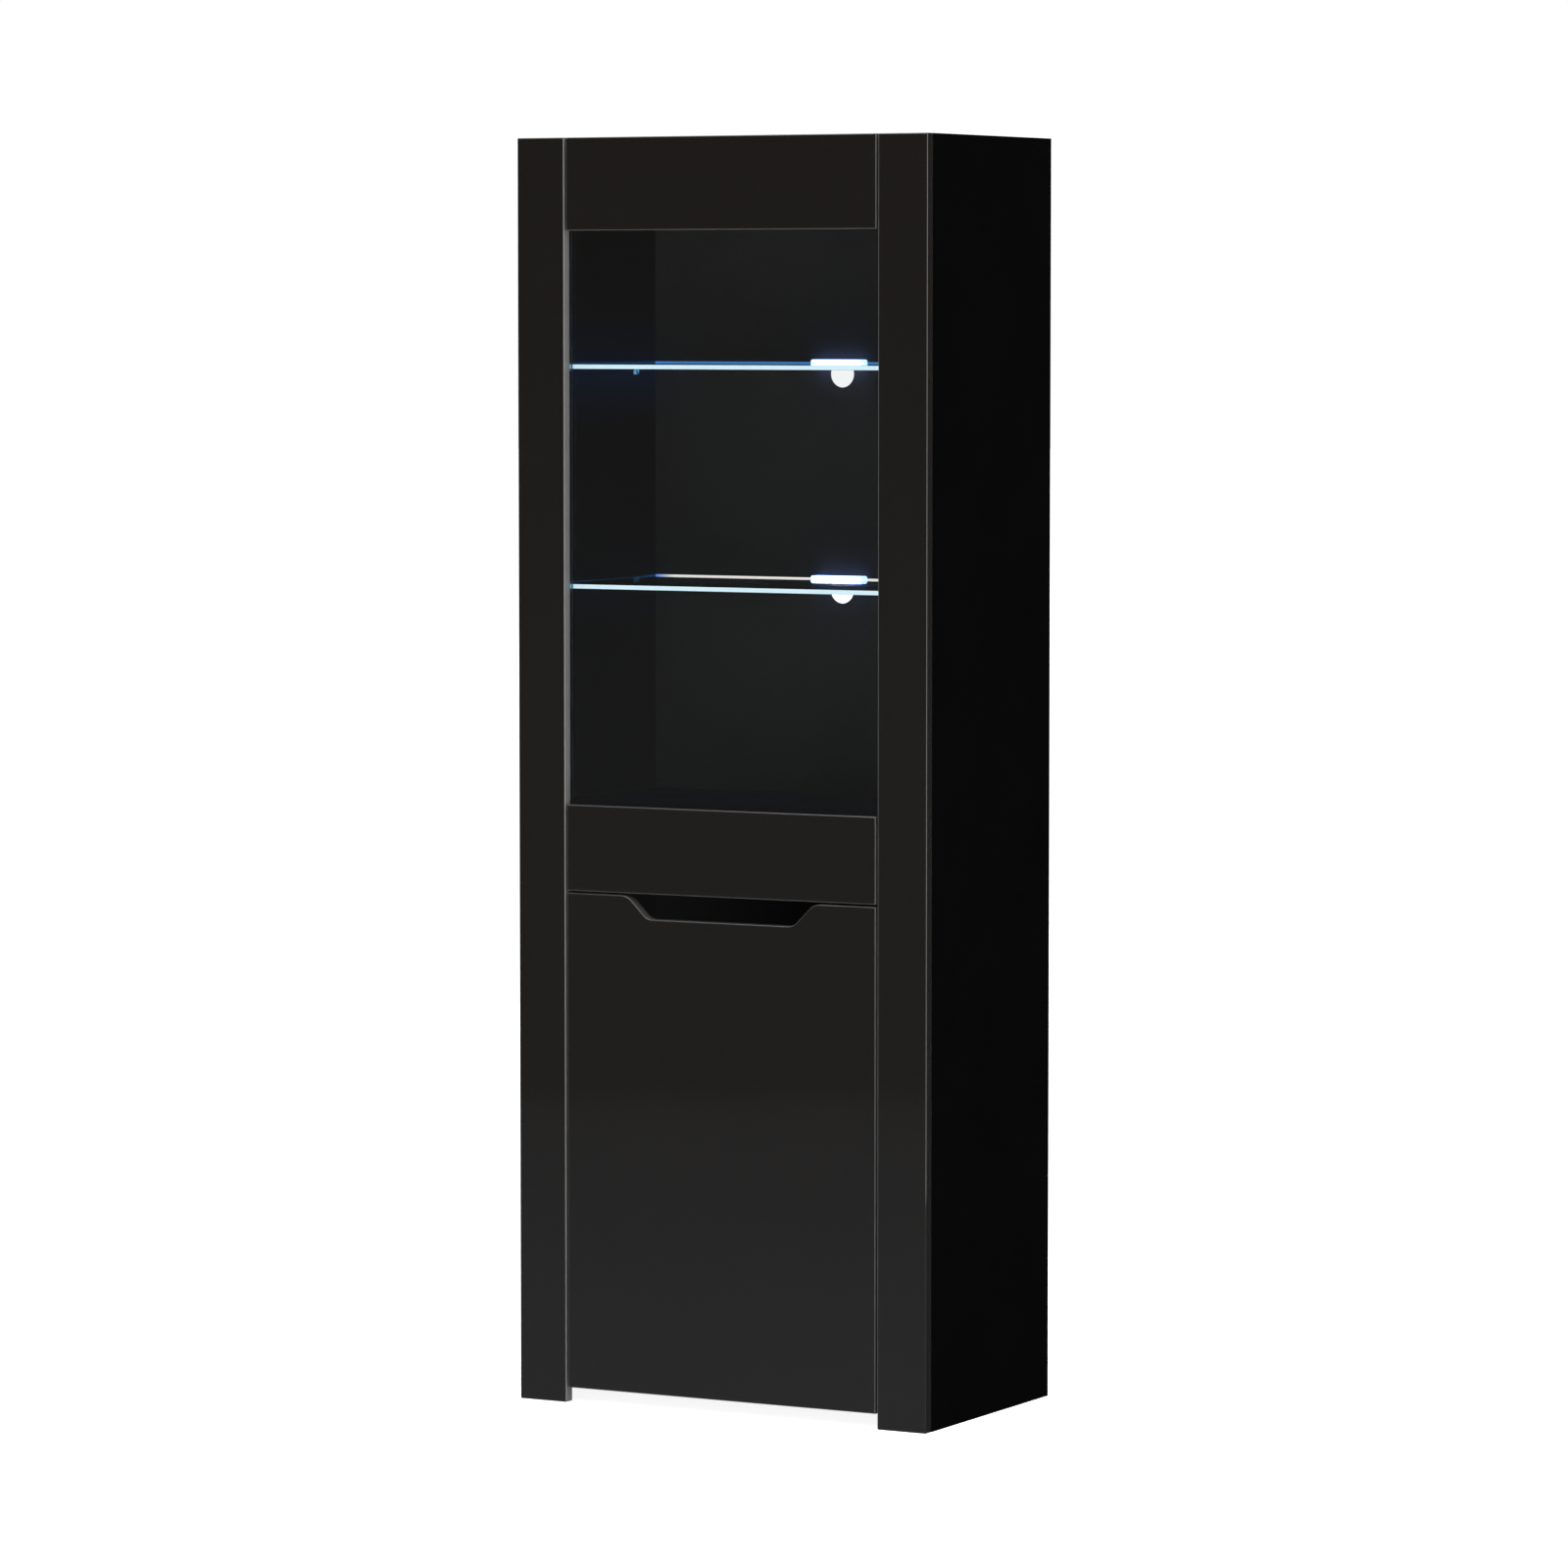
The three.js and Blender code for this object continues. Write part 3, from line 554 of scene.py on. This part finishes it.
def stood(centre, axis):
    """Takes a shape from the origin to a centre, with its height along an axis."""
    turn = Vector((0, 0, 1)).rotation_difference(Vector(axis)).to_matrix().to_4x4()
    return at(*centre) @ turn


def tidy_normals(bm):
    bmesh.ops.recalc_face_normals(bm, faces=bm.faces)


def added(bm, before):
    return [vert for vert in bm.verts if vert not in before]


def verts_in(made):
    return [item for item in made if isinstance(item, bmesh.types.BMVert)]


def edges_between(made, verts):
    """The edges of an extrusion that join its far verts."""
    edges = [item for item in made if isinstance(item, bmesh.types.BMEdge)]
    return [edge for edge in edges if edge.verts[0] in verts and edge.verts[1] in verts]


def edges_of(verts):
    return list({edge for vert in verts for edge in vert.link_edges})


def bevel(bm, geometry, radius, segments, affect="EDGES"):
    bmesh.ops.bevel(
        bm, geom=geometry, offset=radius, offset_type="OFFSET", segments=segments,
        profile=0.5, affect=affect, material=-1, clamp_overlap=True,
    )


def brick(bm, low, high):
    low, high = Vector(low), Vector(high)
    middle = (low + high) / 2
    matrix = at(*middle) @ Matrix.Diagonal((*(high - low), 1))
    return bmesh.ops.create_cube(bm, size=1, matrix=matrix)["verts"]


def soft_brick(bm, low, high, radius, segments):
    bevel(bm, edges_of(brick(bm, low, high)), radius, segments)


def drawn_face(bm, points):
    return bm.faces.new([bm.verts.new(point) for point in points])


def pull(bm, face, offset):
    """Draws a face out to a solid."""
    made = bmesh.ops.extrude_face_region(bm, geom=[face], use_keep_orig=True)["geom"]
    bmesh.ops.translate(bm, verts=verts_in(made), vec=offset)


def paint(bm, slot, chosen):
    """Gives the faces that chosen picks the finish in a slot of the piece."""
    tidy_normals(bm)
    for face in bm.faces:
        if chosen(face):
            face.material_index = slot


def edgewise(face):
    """Says whether a face looks neither forward nor back."""
    return abs(face.normal.y) < 0.98


def beside(face, x):
    return abs(face.calc_center_median().x - x) < FRONT_ROUND


def bore_rear(bm, centres, radius, depth):
    """Cuts round blind holes in the large face that looks to the rear."""
    tidy_normals(bm)
    rearward = [face for face in bm.faces if face.normal.y > 0.999]
    panel = max(rearward, key=lambda face: face.calc_area())
    outlines = list(panel.edges)
    bmesh.ops.delete(bm, geom=[panel], context="FACES_ONLY")
    circles = []
    for centre in centres:
        made = bmesh.ops.create_circle(
            bm, cap_ends=False, segments=BORE_STEPS, radius=radius, matrix=stood(centre, (0, 1, 0)),
        )
        circles.append(edges_of(made["verts"]))
        outlines += circles[-1]
    bmesh.ops.triangle_fill(bm, use_beauty=True, edges=outlines)
    for circle in circles:
        made = bmesh.ops.extrude_edge_only(bm, edges=circle)["geom"]
        floor = verts_in(made)
        bmesh.ops.translate(bm, verts=floor, vec=(0, -depth, 0))
        bmesh.ops.contextual_create(bm, geom=edges_between(made, floor))


def turned(bm, profile, centre, axis):
    """Turns a profile of (radius, height) points round an axis."""
    before = set(bm.verts)
    verts = [bm.verts.new((radius, 0, height)) for radius, height in profile]
    edges = [bm.edges.new(pair) for pair in zip(verts, verts[1:])]
    bmesh.ops.spin(
        bm, geom=verts + edges, cent=(0, 0, 0), axis=(0, 0, 1), dvec=(0, 0, 0),
        angle=2 * pi, steps=TURN_STEPS, use_merge=True, use_duplicate=False,
    )
    bmesh.ops.remove_doubles(bm, verts=added(bm, before), dist=TOUCH)
    bmesh.ops.transform(bm, matrix=stood(centre, axis), verts=added(bm, before))


def finish_piece(name, bm, slot, body, stands_for=(), extra=()):
    """Makes a piece of a bmesh, in the finish of a slot and any extra finishes, riding on a body."""
    tidy_normals(bm)
    mesh = bpy.data.meshes.new(name)
    bm.to_mesh(mesh)
    bm.free()
    for finish in (FINISHES[slot], *extra):
        mesh.materials.append(finish)
    mesh.shade_smooth()
    mesh.set_sharp_from_angle(angle=SMOOTH)
    piece = bpy.data.objects.new(name, mesh)
    bpy.context.collection.objects.link(piece)
    even = piece.modifiers.new("even_normals", "WEIGHTED_NORMAL")
    even.keep_sharp = True
    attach(piece, body)
    if stands_for:
        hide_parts(*stands_for)
    return piece


def stand_in(node, bm, extra=()):
    """A piece that is shown in place of one CAD node, with its body and finish."""
    return finish_piece(f"{node}_piece", bm, SLOT_OF[node], BODY_OF[node], (node,), extra)


def softened(node, radius):
    """A copy of a CAD part with its sharp edges eased."""
    bm = bmesh.new()
    bm.from_mesh(frame["nodes"][node].data)
    bmesh.ops.remove_doubles(bm, verts=bm.verts, dist=WELD)
    bmesh.ops.dissolve_limit(bm, angle_limit=radians(1), verts=bm.verts, edges=bm.edges)
    sharp = [edge for edge in bm.edges if edge.is_manifold and edge.calc_face_angle() > SHARP]
    bevel(bm, sharp, radius, 2)
    bmesh.ops.remove_doubles(bm, verts=bm.verts, dist=SLIVER)
    bmesh.ops.dissolve_degenerate(bm, edges=bm.edges, dist=SLIVER / 10)
    return stand_in(node, bm)


# ------------------------------------------------------------------ posts and doors

CUP_BORE_RADIUS = 17.8 * MM
CUP_BORE_DEPTH = 12 * MM
PANE_SLACK = 0.3 * MM
GRIP_TOP_WIDTH = 275 * MM
GRIP_BOTTOM_WIDTH = 215 * MM
GRIP_DEPTH = 30 * MM
GRIP_CORNER_RADIUS = 18 * MM
GRIP_SLOPE = pi / 4
GRIP_STEPS = 10


def make_posts():
    """Gloss posts: satin edges in a lighter black, a painted highlight, and the side next to the doors paler
    still, a painted highlight too.
    """
    for side in SIDES:
        low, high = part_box(f"{side}_post")
        outer, inner = (low.x, high.x) if side == "left" else (high.x, low.x)
        bm = bmesh.new()
        soft_brick(bm, low, high, FRONT_ROUND, ROUND_STEPS)
        # Edge faces, save those at the outer side, take the lighter edge black: painted highlight.
        paint(bm, 1, lambda face: edgewise(face) and not beside(face, outer))
        # The side next to the doors takes a paler black still: painted highlight.
        paint(bm, 2, lambda face: abs(face.normal.x) > 0.3 and beside(face, inner))
        stand_in(f"{side}_post", bm, extra=(GLOSS_EDGE_PAINTED_HIGHLIGHT, POST_SIDE_PAINTED_HIGHLIGHT))


def cup_centre(hinge, y):
    low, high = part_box(f"{hinge}_cup")
    middle = (low + high) / 2
    return (middle.x, y, middle.z)


def on_step(edge, step_y, step_z):
    """Says whether an edge belongs to the rebate, which stays sharp."""
    middle = (edge.verts[0].co + edge.verts[1].co) / 2
    along_z = abs(middle.z - step_z) < TOUCH
    return along_z or any(abs(vert.co.y - step_y) < TOUCH for vert in edge.verts)


def make_rails():
    """Gloss rails, rebated behind for the pane."""
    glass_low, glass_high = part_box("upper_door_glass")
    step_y = glass_low.y - PANE_SLACK
    for end in ENDS:
        node = f"upper_door_{end}_rail"
        low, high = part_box(node)
        if end == "bottom":
            far_z, step_z, near_z = low.z, glass_low.z - PANE_SLACK, high.z
        else:
            far_z, step_z, near_z = high.z, glass_high.z + PANE_SLACK, low.z
        outline = [(low.y, far_z), (high.y, far_z), (high.y, step_z),
                   (step_y, step_z), (step_y, near_z), (low.y, near_z)]
        bm = bmesh.new()
        section = drawn_face(bm, [(low.x, y, z) for y, z in outline])
        pull(bm, section, (high.x - low.x, 0, 0))
        outer = [edge for edge in bm.edges if not on_step(edge, step_y, step_z)]
        bevel(bm, outer, FRONT_ROUND, ROUND_STEPS)
        # Edge faces take the lighter edge black: painted highlight.
        paint(bm, 1, edgewise)
        bore_rear(bm, [cup_centre(f"upper_door_{end}_hinge", high.y)], CUP_BORE_RADIUS, CUP_BORE_DEPTH)
        stand_in(node, bm, extra=(GLOSS_EDGE_PAINTED_HIGHLIGHT,))


def make_lower_door():
    """The gloss door, with the grip cut in its top edge."""
    low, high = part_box("lower_door_panel")
    middle = (low.x + high.x) / 2
    grip_z = high.z - GRIP_DEPTH
    grip = [(middle + GRIP_TOP_WIDTH / 2, high.z), (middle + GRIP_BOTTOM_WIDTH / 2, grip_z),
            (middle - GRIP_BOTTOM_WIDTH / 2, grip_z), (middle - GRIP_TOP_WIDTH / 2, high.z)]
    foot = [(low.x, low.z), (high.x, low.z), (high.x, high.z)]
    bm = bmesh.new()
    front = drawn_face(bm, [(x, low.y, z) for x, z in [*foot, *grip, (low.x, high.z)]])
    corners = list(front.verts)[len(foot):len(foot) + len(grip)]
    bevel(bm, corners, GRIP_CORNER_RADIUS * tan(GRIP_SLOPE / 2), GRIP_STEPS, "VERTICES")
    bm.faces.ensure_lookup_table()
    pull(bm, bm.faces[0], (0, high.y - low.y, 0))
    outlines = [edge for edge in bm.edges if abs(edge.verts[0].co.y - edge.verts[1].co.y) < TOUCH]
    bevel(bm, outlines, FRONT_ROUND, ROUND_STEPS)
    # Edge faces take the lighter edge black: painted highlight.
    paint(bm, 1, edgewise)
    centres = [cup_centre(f"lower_door_{end}_hinge", high.y) for end in ENDS]
    bore_rear(bm, centres, CUP_BORE_RADIUS, CUP_BORE_DEPTH)
    stand_in("lower_door_panel", bm, extra=(GLOSS_EDGE_PAINTED_HIGHLIGHT,))


make_posts()
make_rails()
make_lower_door()


# ------------------------------------------------------------------ glass

def make_plate(node, radius, across, edge_finish):
    """A glass plate; across is the axis of its thickness, and its edges have their own finish."""
    bm = bmesh.new()
    soft_brick(bm, *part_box(node), radius, 2)
    paint(bm, 1, lambda face: abs(face.normal[across]) < 0.9)
    return stand_in(node, bm, extra=(edge_finish,))


door_pane = make_plate("upper_door_glass", 0.6 * MM, 1, PANE_EDGE)
door_pane.data.materials[0] = DOOR_GLASS
for level in LEVELS:
    make_plate(f"{level}_glass_shelf", 0.8 * MM, 2, LIT_EDGE)


# ------------------------------------------------------------------ boards, pins and supports

EASED = {
    "left_side_panel": 0.5, "right_side_panel": 0.5, "top_panel": 0.5, "middle_panel": 0.5,
    "bottom_panel": 0.5, "wooden_shelf": 0.8, "back_board_joiner": 0.2,
    "lower_light_strip": 0.15, "upper_light_strip": 0.15,
}
for rank in ("front", "rear"):
    for side in SIDES:
        EASED[f"shelf_pin_{rank}_{side}"] = 0.25
        for level in LEVELS:
            EASED[f"{level}_glass_support_{rank}_{side}"] = 0.45
for side in SIDES:
    EASED[f"wall_bracket_{side}"] = 0.35
    for end in ENDS:
        EASED[f"glass_retainer_{end}_{side}"] = 0.4
for level in LEVELS:
    EASED[f"{level}_light_clip"] = 0.5
for hinge in HINGES:
    EASED[f"{hinge}_arm"] = 0.5
    EASED[f"{hinge}_plate"] = 0.4
    EASED[f"{hinge}_cup"] = 0.3
    EASED[f"{hinge}_link"] = 0.5


def own_finish(node):
    """The finish of a part, which differs from its slot's where the shelves' light falls on it."""
    if node.endswith("side_panel"):
        return LIT_SIDE
    if node == "middle_panel":
        return LIT_FLOOR
    if "glass_support" in node:
        return LIT_NICKEL
    return FINISHES[SLOT_OF[node]]


for node, radius in EASED.items():
    eased = softened(node, radius * MM)
    eased.data.materials[0] = own_finish(node)


# ------------------------------------------------------------------ screws and plastic fittings

PAN_PROFILE = ((0.84, 0.12), (0.97, 0.34), (1.0, 0.6), (1.0, 1.0))
CUP_SCREW_ALONG = 24.5 * MM
CUP_SCREW_SPREAD = 24.2 * MM
CUP_SCREW_RADIUS = 3.4 * MM
PLATE_SCREW_ALONG = 13 * MM
PLATE_SCREW_SPREAD = 18 * MM
PLATE_SCREW_RADIUS = 3.8 * MM
WING_THICKNESS = 2 * MM
ARM_SCREWS = ((11 * MM, 3.6 * MM), (27 * MM, 3.1 * MM))
SMALL_SCREW_RADIUS = 3.0 * MM
RETAINER_SCREW_INSET = 5.5 * MM
BRACKET_SCREW_SPREAD = 8 * MM
BRACKET_SCREW_INSET = 5 * MM
BRACKET_THICKNESS = 2 * MM
BUMPER_PROFILE = ((0, 0), (1, 0), (1, 0.3), (0.92, 0.62), (0.72, 0.86), (0.4, 0.98), (0, 1))
CAP_PROFILE = ((0, 0), (8.5, 0), (8.5, 0.35), (8.1, 0.8), (7.2, 1.1), (3.2, 1.2), (2.9, 0.9), (0, 0.85))
CAP_END_INSET = 26 * MM
CAP_FRONT_INSET = 50 * MM
CAP_REAR_INSET = 55 * MM
WEDGE_HEIGHTS = (0.12, 0.40, 0.68, 0.90, 1.19, 1.48)
WEDGE_REACH = 11 * MM
WEDGE_THICKNESS = 7 * MM
WEDGE_HALF_HEIGHT = 8 * MM
WEDGE_DROP = 4.5 * MM
WEDGE_SCREW_RISE = 4.6 * MM
WEDGE_SCREW_RADIUS = 2.6 * MM


def screw_head(bm, centre, axis, radius):
    """A pan head with a cross recess, its underside at the centre."""
    before = set(bm.verts)
    height = radius * 0.62
    wide = radius * 0.44
    slim = radius * 0.11
    crown = bmesh.ops.create_circle(
        bm, cap_ends=False, segments=20, radius=radius * 0.6, matrix=at(0, 0, height),
    )
    edges = edges_of(crown["verts"])
    corners = [(slim, wide), (slim, slim), (wide, slim), (wide, -slim), (slim, -slim), (slim, -wide)]
    corners += [(-x, -y) for x, y in corners]
    cross = [bm.verts.new((x, y, height)) for x, y in corners]
    recess = [bm.edges.new(pair) for pair in zip(cross, cross[1:] + cross[:1])]
    bmesh.ops.triangle_fill(bm, use_beauty=True, edges=edges + recess)
    made = bmesh.ops.extrude_edge_only(bm, edges=recess)["geom"]
    sunk = verts_in(made)
    bmesh.ops.translate(bm, verts=sunk, vec=(0, 0, -height * 0.7))
    bmesh.ops.scale(bm, verts=sunk, vec=(0.7, 0.7, 1))
    bmesh.ops.contextual_create(bm, geom=edges_between(made, sunk))
    for share, drop in PAN_PROFILE:
        made = bmesh.ops.extrude_edge_only(bm, edges=edges)["geom"]
        verts = verts_in(made)
        for vert in verts:
            flat = vert.co.xy.normalized() * radius * share
            vert.co = (flat.x, flat.y, height * (1 - drop))
        edges = edges_between(made, verts)
    bmesh.ops.contextual_create(bm, geom=edges)
    bmesh.ops.transform(bm, matrix=stood(centre, axis), verts=added(bm, before))


def make_hinge_screws():
    rearward = (0, 1, 0)
    for hinge in HINGES:
        cup_low, cup_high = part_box(f"{hinge}_cup")
        middle_z = (cup_low.z + cup_high.z) / 2
        bm = bmesh.new()
        for side in (-1, 1):
            place = (cup_low.x + CUP_SCREW_ALONG, cup_high.y, middle_z + side * CUP_SCREW_SPREAD)
            screw_head(bm, place, rearward, CUP_SCREW_RADIUS)
        finish_piece(f"{hinge}_cup_screws", bm, "nickel_steel", BODY_OF[f"{hinge}_cup"])

        wing_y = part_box(f"{hinge}_plate")[0].y + WING_THICKNESS
        arm_low, arm_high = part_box(f"{hinge}_arm")
        bm = bmesh.new()
        for side in (-1, 1):
            place = (arm_low.x + PLATE_SCREW_ALONG, wing_y, middle_z + side * PLATE_SCREW_SPREAD)
            screw_head(bm, place, rearward, PLATE_SCREW_RADIUS)
        for along, radius in ARM_SCREWS:
            screw_head(bm, (arm_low.x + along, arm_high.y, middle_z), rearward, radius)
        finish_piece(f"{hinge}_plate_screws", bm, "nickel_steel", "carcass")


def make_retainer_screws():
    for end in ENDS:
        for side in SIDES:
            node = f"glass_retainer_{end}_{side}"
            low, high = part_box(node)
            over_rail = low.z + RETAINER_SCREW_INSET if end == "bottom" else high.z - RETAINER_SCREW_INSET
            bm = bmesh.new()
            screw_head(bm, ((low.x + high.x) / 2, high.y, over_rail), (0, 1, 0), SMALL_SCREW_RADIUS)
            finish_piece(f"{node}_screw", bm, "nickel_steel", BODY_OF[node])


def make_bracket_screws():
    for side in SIDES:
        low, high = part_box(f"wall_bracket_{side}")
        bm = bmesh.new()
        for across in (-BRACKET_SCREW_SPREAD, BRACKET_SCREW_SPREAD):
            middle = (low.x + high.x) / 2
            place = (middle + across, low.y + BRACKET_SCREW_INSET, high.z - BRACKET_THICKNESS)
            screw_head(bm, place, (0, 0, -1), SMALL_SCREW_RADIUS)
        finish_piece(f"wall_bracket_{side}_screws", bm, "zinc_steel", "carcass")


def make_bumpers():
    for height in ("bottom", "middle", "top"):
        low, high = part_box(f"{height}_bumper")
        middle = (low + high) / 2
        radius = (high.x - low.x) / 2
        thickness = high.y - low.y
        profile = [(radius * out, thickness * up) for out, up in BUMPER_PROFILE]
        bm = bmesh.new()
        turned(bm, profile, (middle.x, high.y, middle.z), (0, -1, 0))
        stand_in(f"{height}_bumper", bm)


def make_cam_caps():
    """Plastic caps over the cam locks, under each cross panel and near its ends."""
    profile = [(radius * MM, height * MM) for radius, height in CAP_PROFILE]
    for node in ("top_panel", "middle_panel", "bottom_panel"):
        low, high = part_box(node)
        bm = bmesh.new()
        for side in (-1, 1):
            for depth in (low.y + CAP_FRONT_INSET, back_low.y - CAP_REAR_INSET):
                turned(bm, profile, (side * (high.x - CAP_END_INSET), depth, low.z), (0, 0, -1))
        finish_piece(f"{node}_cam_caps", bm, "black_plastic", "carcass")


def make_back_wedges():
    """Plastic wedges, each with a screw, that press the back boards into their grooves."""
    base_y = back_high.y + 0.05 * MM
    back_y = back_high.y + WEDGE_THICKNESS
    wedges = bmesh.new()
    screws = bmesh.new()
    for side in (-1, 1):
        outer = side * (inner_x - 0.1 * MM)
        inner = outer - side * WEDGE_REACH
        slope = Vector((-side * 0.38, 0.925, 0))
        for height in WEDGE_HEIGHTS:
            low = (min(outer, inner), base_y, height - WEDGE_HALF_HEIGHT)
            high = (max(outer, inner), back_y, height + WEDGE_HALF_HEIGHT)
            verts = brick(wedges, low, high)
            tip = [vert for vert in verts if abs(vert.co.x - inner) < TOUCH and vert.co.y > back_y - MM]
            bmesh.ops.translate(wedges, verts=tip, vec=(0, -WEDGE_DROP, 0))
            bevel(wedges, edges_of(verts), 0.8 * MM, 2)
            place = ((outer + inner) / 2, back_high.y + WEDGE_SCREW_RISE, height)
            screw_head(screws, place, slope, WEDGE_SCREW_RADIUS)
    finish_piece("back_wedges", wedges, "black_plastic", "carcass")
    finish_piece("back_wedge_screws", screws, "zinc_steel", "carcass")


make_hinge_screws()
make_retainer_screws()
make_bracket_screws()
make_bumpers()
make_cam_caps()
make_back_wedges()


# ------------------------------------------------------------------ stage

FLOOR_RADIUS = 60
CABINET_MIDDLE = Vector((0, 0, 0.85))


def make_floor():
    finish = new_finish("pale_floor")
    place = finish.place()
    speckle = finish.noise(place, 30, 4)
    colour = finish.blend(speckle, tint(0.88, 0.88, 0.88), tint(0.9, 0.9, 0.9))
    matt = finish.node("ShaderNodeBsdfDiffuse", inputs={"Color": colour})
    fill = finish.node("ShaderNodeEmission", inputs={"Color": tint(1, 1, 1), "Strength": 0.9})
    cover = finish.show(finish.node("ShaderNodeAddShader", inputs={0: matt, 1: fill}))
    bm = bmesh.new()
    bmesh.ops.create_circle(bm, cap_ends=True, segments=64, radius=FLOOR_RADIUS, matrix=at(0, 0, -0.2 * MM))
    mesh = bpy.data.meshes.new("floor")
    bm.to_mesh(mesh)
    bm.free()
    mesh.materials.append(cover)
    floor = bpy.data.objects.new("floor", mesh)
    bpy.context.collection.objects.link(floor)
    floor.visible_glossy = False


def make_lamp(name, azimuth, height, distance, width, length, power):
    """A soft box at an azimuth from the front, turned to the middle of the cabinet."""
    lamp = bpy.data.lights.new(name, "AREA")
    lamp.shape = "RECTANGLE"
    lamp.size = width
    lamp.size_y = length
    lamp.energy = power
    holder = bpy.data.objects.new(name, lamp)
    angle = radians(azimuth)
    place = Vector((sin(angle) * distance, -cos(angle) * distance, height))
    holder.location = place
    holder.rotation_euler = (place - CABINET_MIDDLE).to_track_quat("Z", "Y").to_euler()
    holder.visible_camera = False
    bpy.context.collection.objects.link(holder)


def make_world():
    """White for the camera, even for soft light, and a dim studio for reflections."""
    world = bpy.data.worlds.new("studio")
    bpy.context.scene.world = world
    finish = Finish(world)
    look = finish.node("ShaderNodeTexCoord", output="Generated")
    _, _, up = finish.axes(look)

    def toward(x, y):
        inputs = {0: look, 1: (x, y, 0)}
        return finish.node("ShaderNodeVectorMath", {"operation": "DOT_PRODUCT"}, inputs, "Value")

    room = finish.node("ShaderNodeValToRGB", {"stops": [
        (0.0, tint(0.36, 0.37, 0.4)), (0.245, tint(0.21, 0.212, 0.222)), (0.26, tint(0.13, 0.126, 0.12)),
        (0.5, tint(0.135, 0.13, 0.122)), (0.72, tint(0.1, 0.092, 0.083)), (1.0, tint(0.07, 0.058, 0.048)),
    ]}, {0: finish.fit(up, -0.165, 0.03)})
    wall = finish.blend(finish.fit(up, -0.55, 0.35), tint(0.1, 0.1, 0.1), tint(0.85, 0.86, 0.88))
    strip = finish.fit(abs(toward(0.743, 0.669)), 0.09, 0.1, 1, 0)
    strip = strip * toward(0.669, -0.743).above(0.0) * finish.fit(up, -0.5, -0.49)
    wall = finish.blend(strip, wall, tint(2.2, 2.2, 2.2))
    rear_right = finish.fit(toward(0.478, 0.878), 0.3, 0.95)
    front_left = finish.fit(toward(-0.478, -0.878), 0.2, 0.95)
    mirrored = finish.blend(rear_right, wall, tint(0.05, 0.05, 0.05))
    mirrored = finish.blend(front_left, mirrored, room)
    glossy = finish.node("ShaderNodeLightPath", output="Is Glossy Ray")
    through = finish.node("ShaderNodeLightPath", output="Is Transmission Ray")
    diffuse = finish.node("ShaderNodeLightPath", output="Is Diffuse Ray")
    soft = finish.blend(diffuse, tint(1.02, 1.02, 1.02), tint(0.85, 0.85, 0.85))
    colour = finish.blend(glossy * (1 - through), soft, mirrored)
    finish.show(finish.node("ShaderNodeBackground", inputs={"Color": colour}), "ShaderNodeOutputWorld")


make_floor()
make_world()
make_lamp("key_softbox", 80, 1.4, 4.5, 2.8, 3.4, 200)
make_lamp("rim_softbox", -120, 1.4, 4.5, 2.4, 3.4, 110)
make_lamp("overhead_softbox", -25, 4.4, 1.6, 2.4, 2.4, 110)
bpy.context.scene.view_settings.view_transform = "Standard"
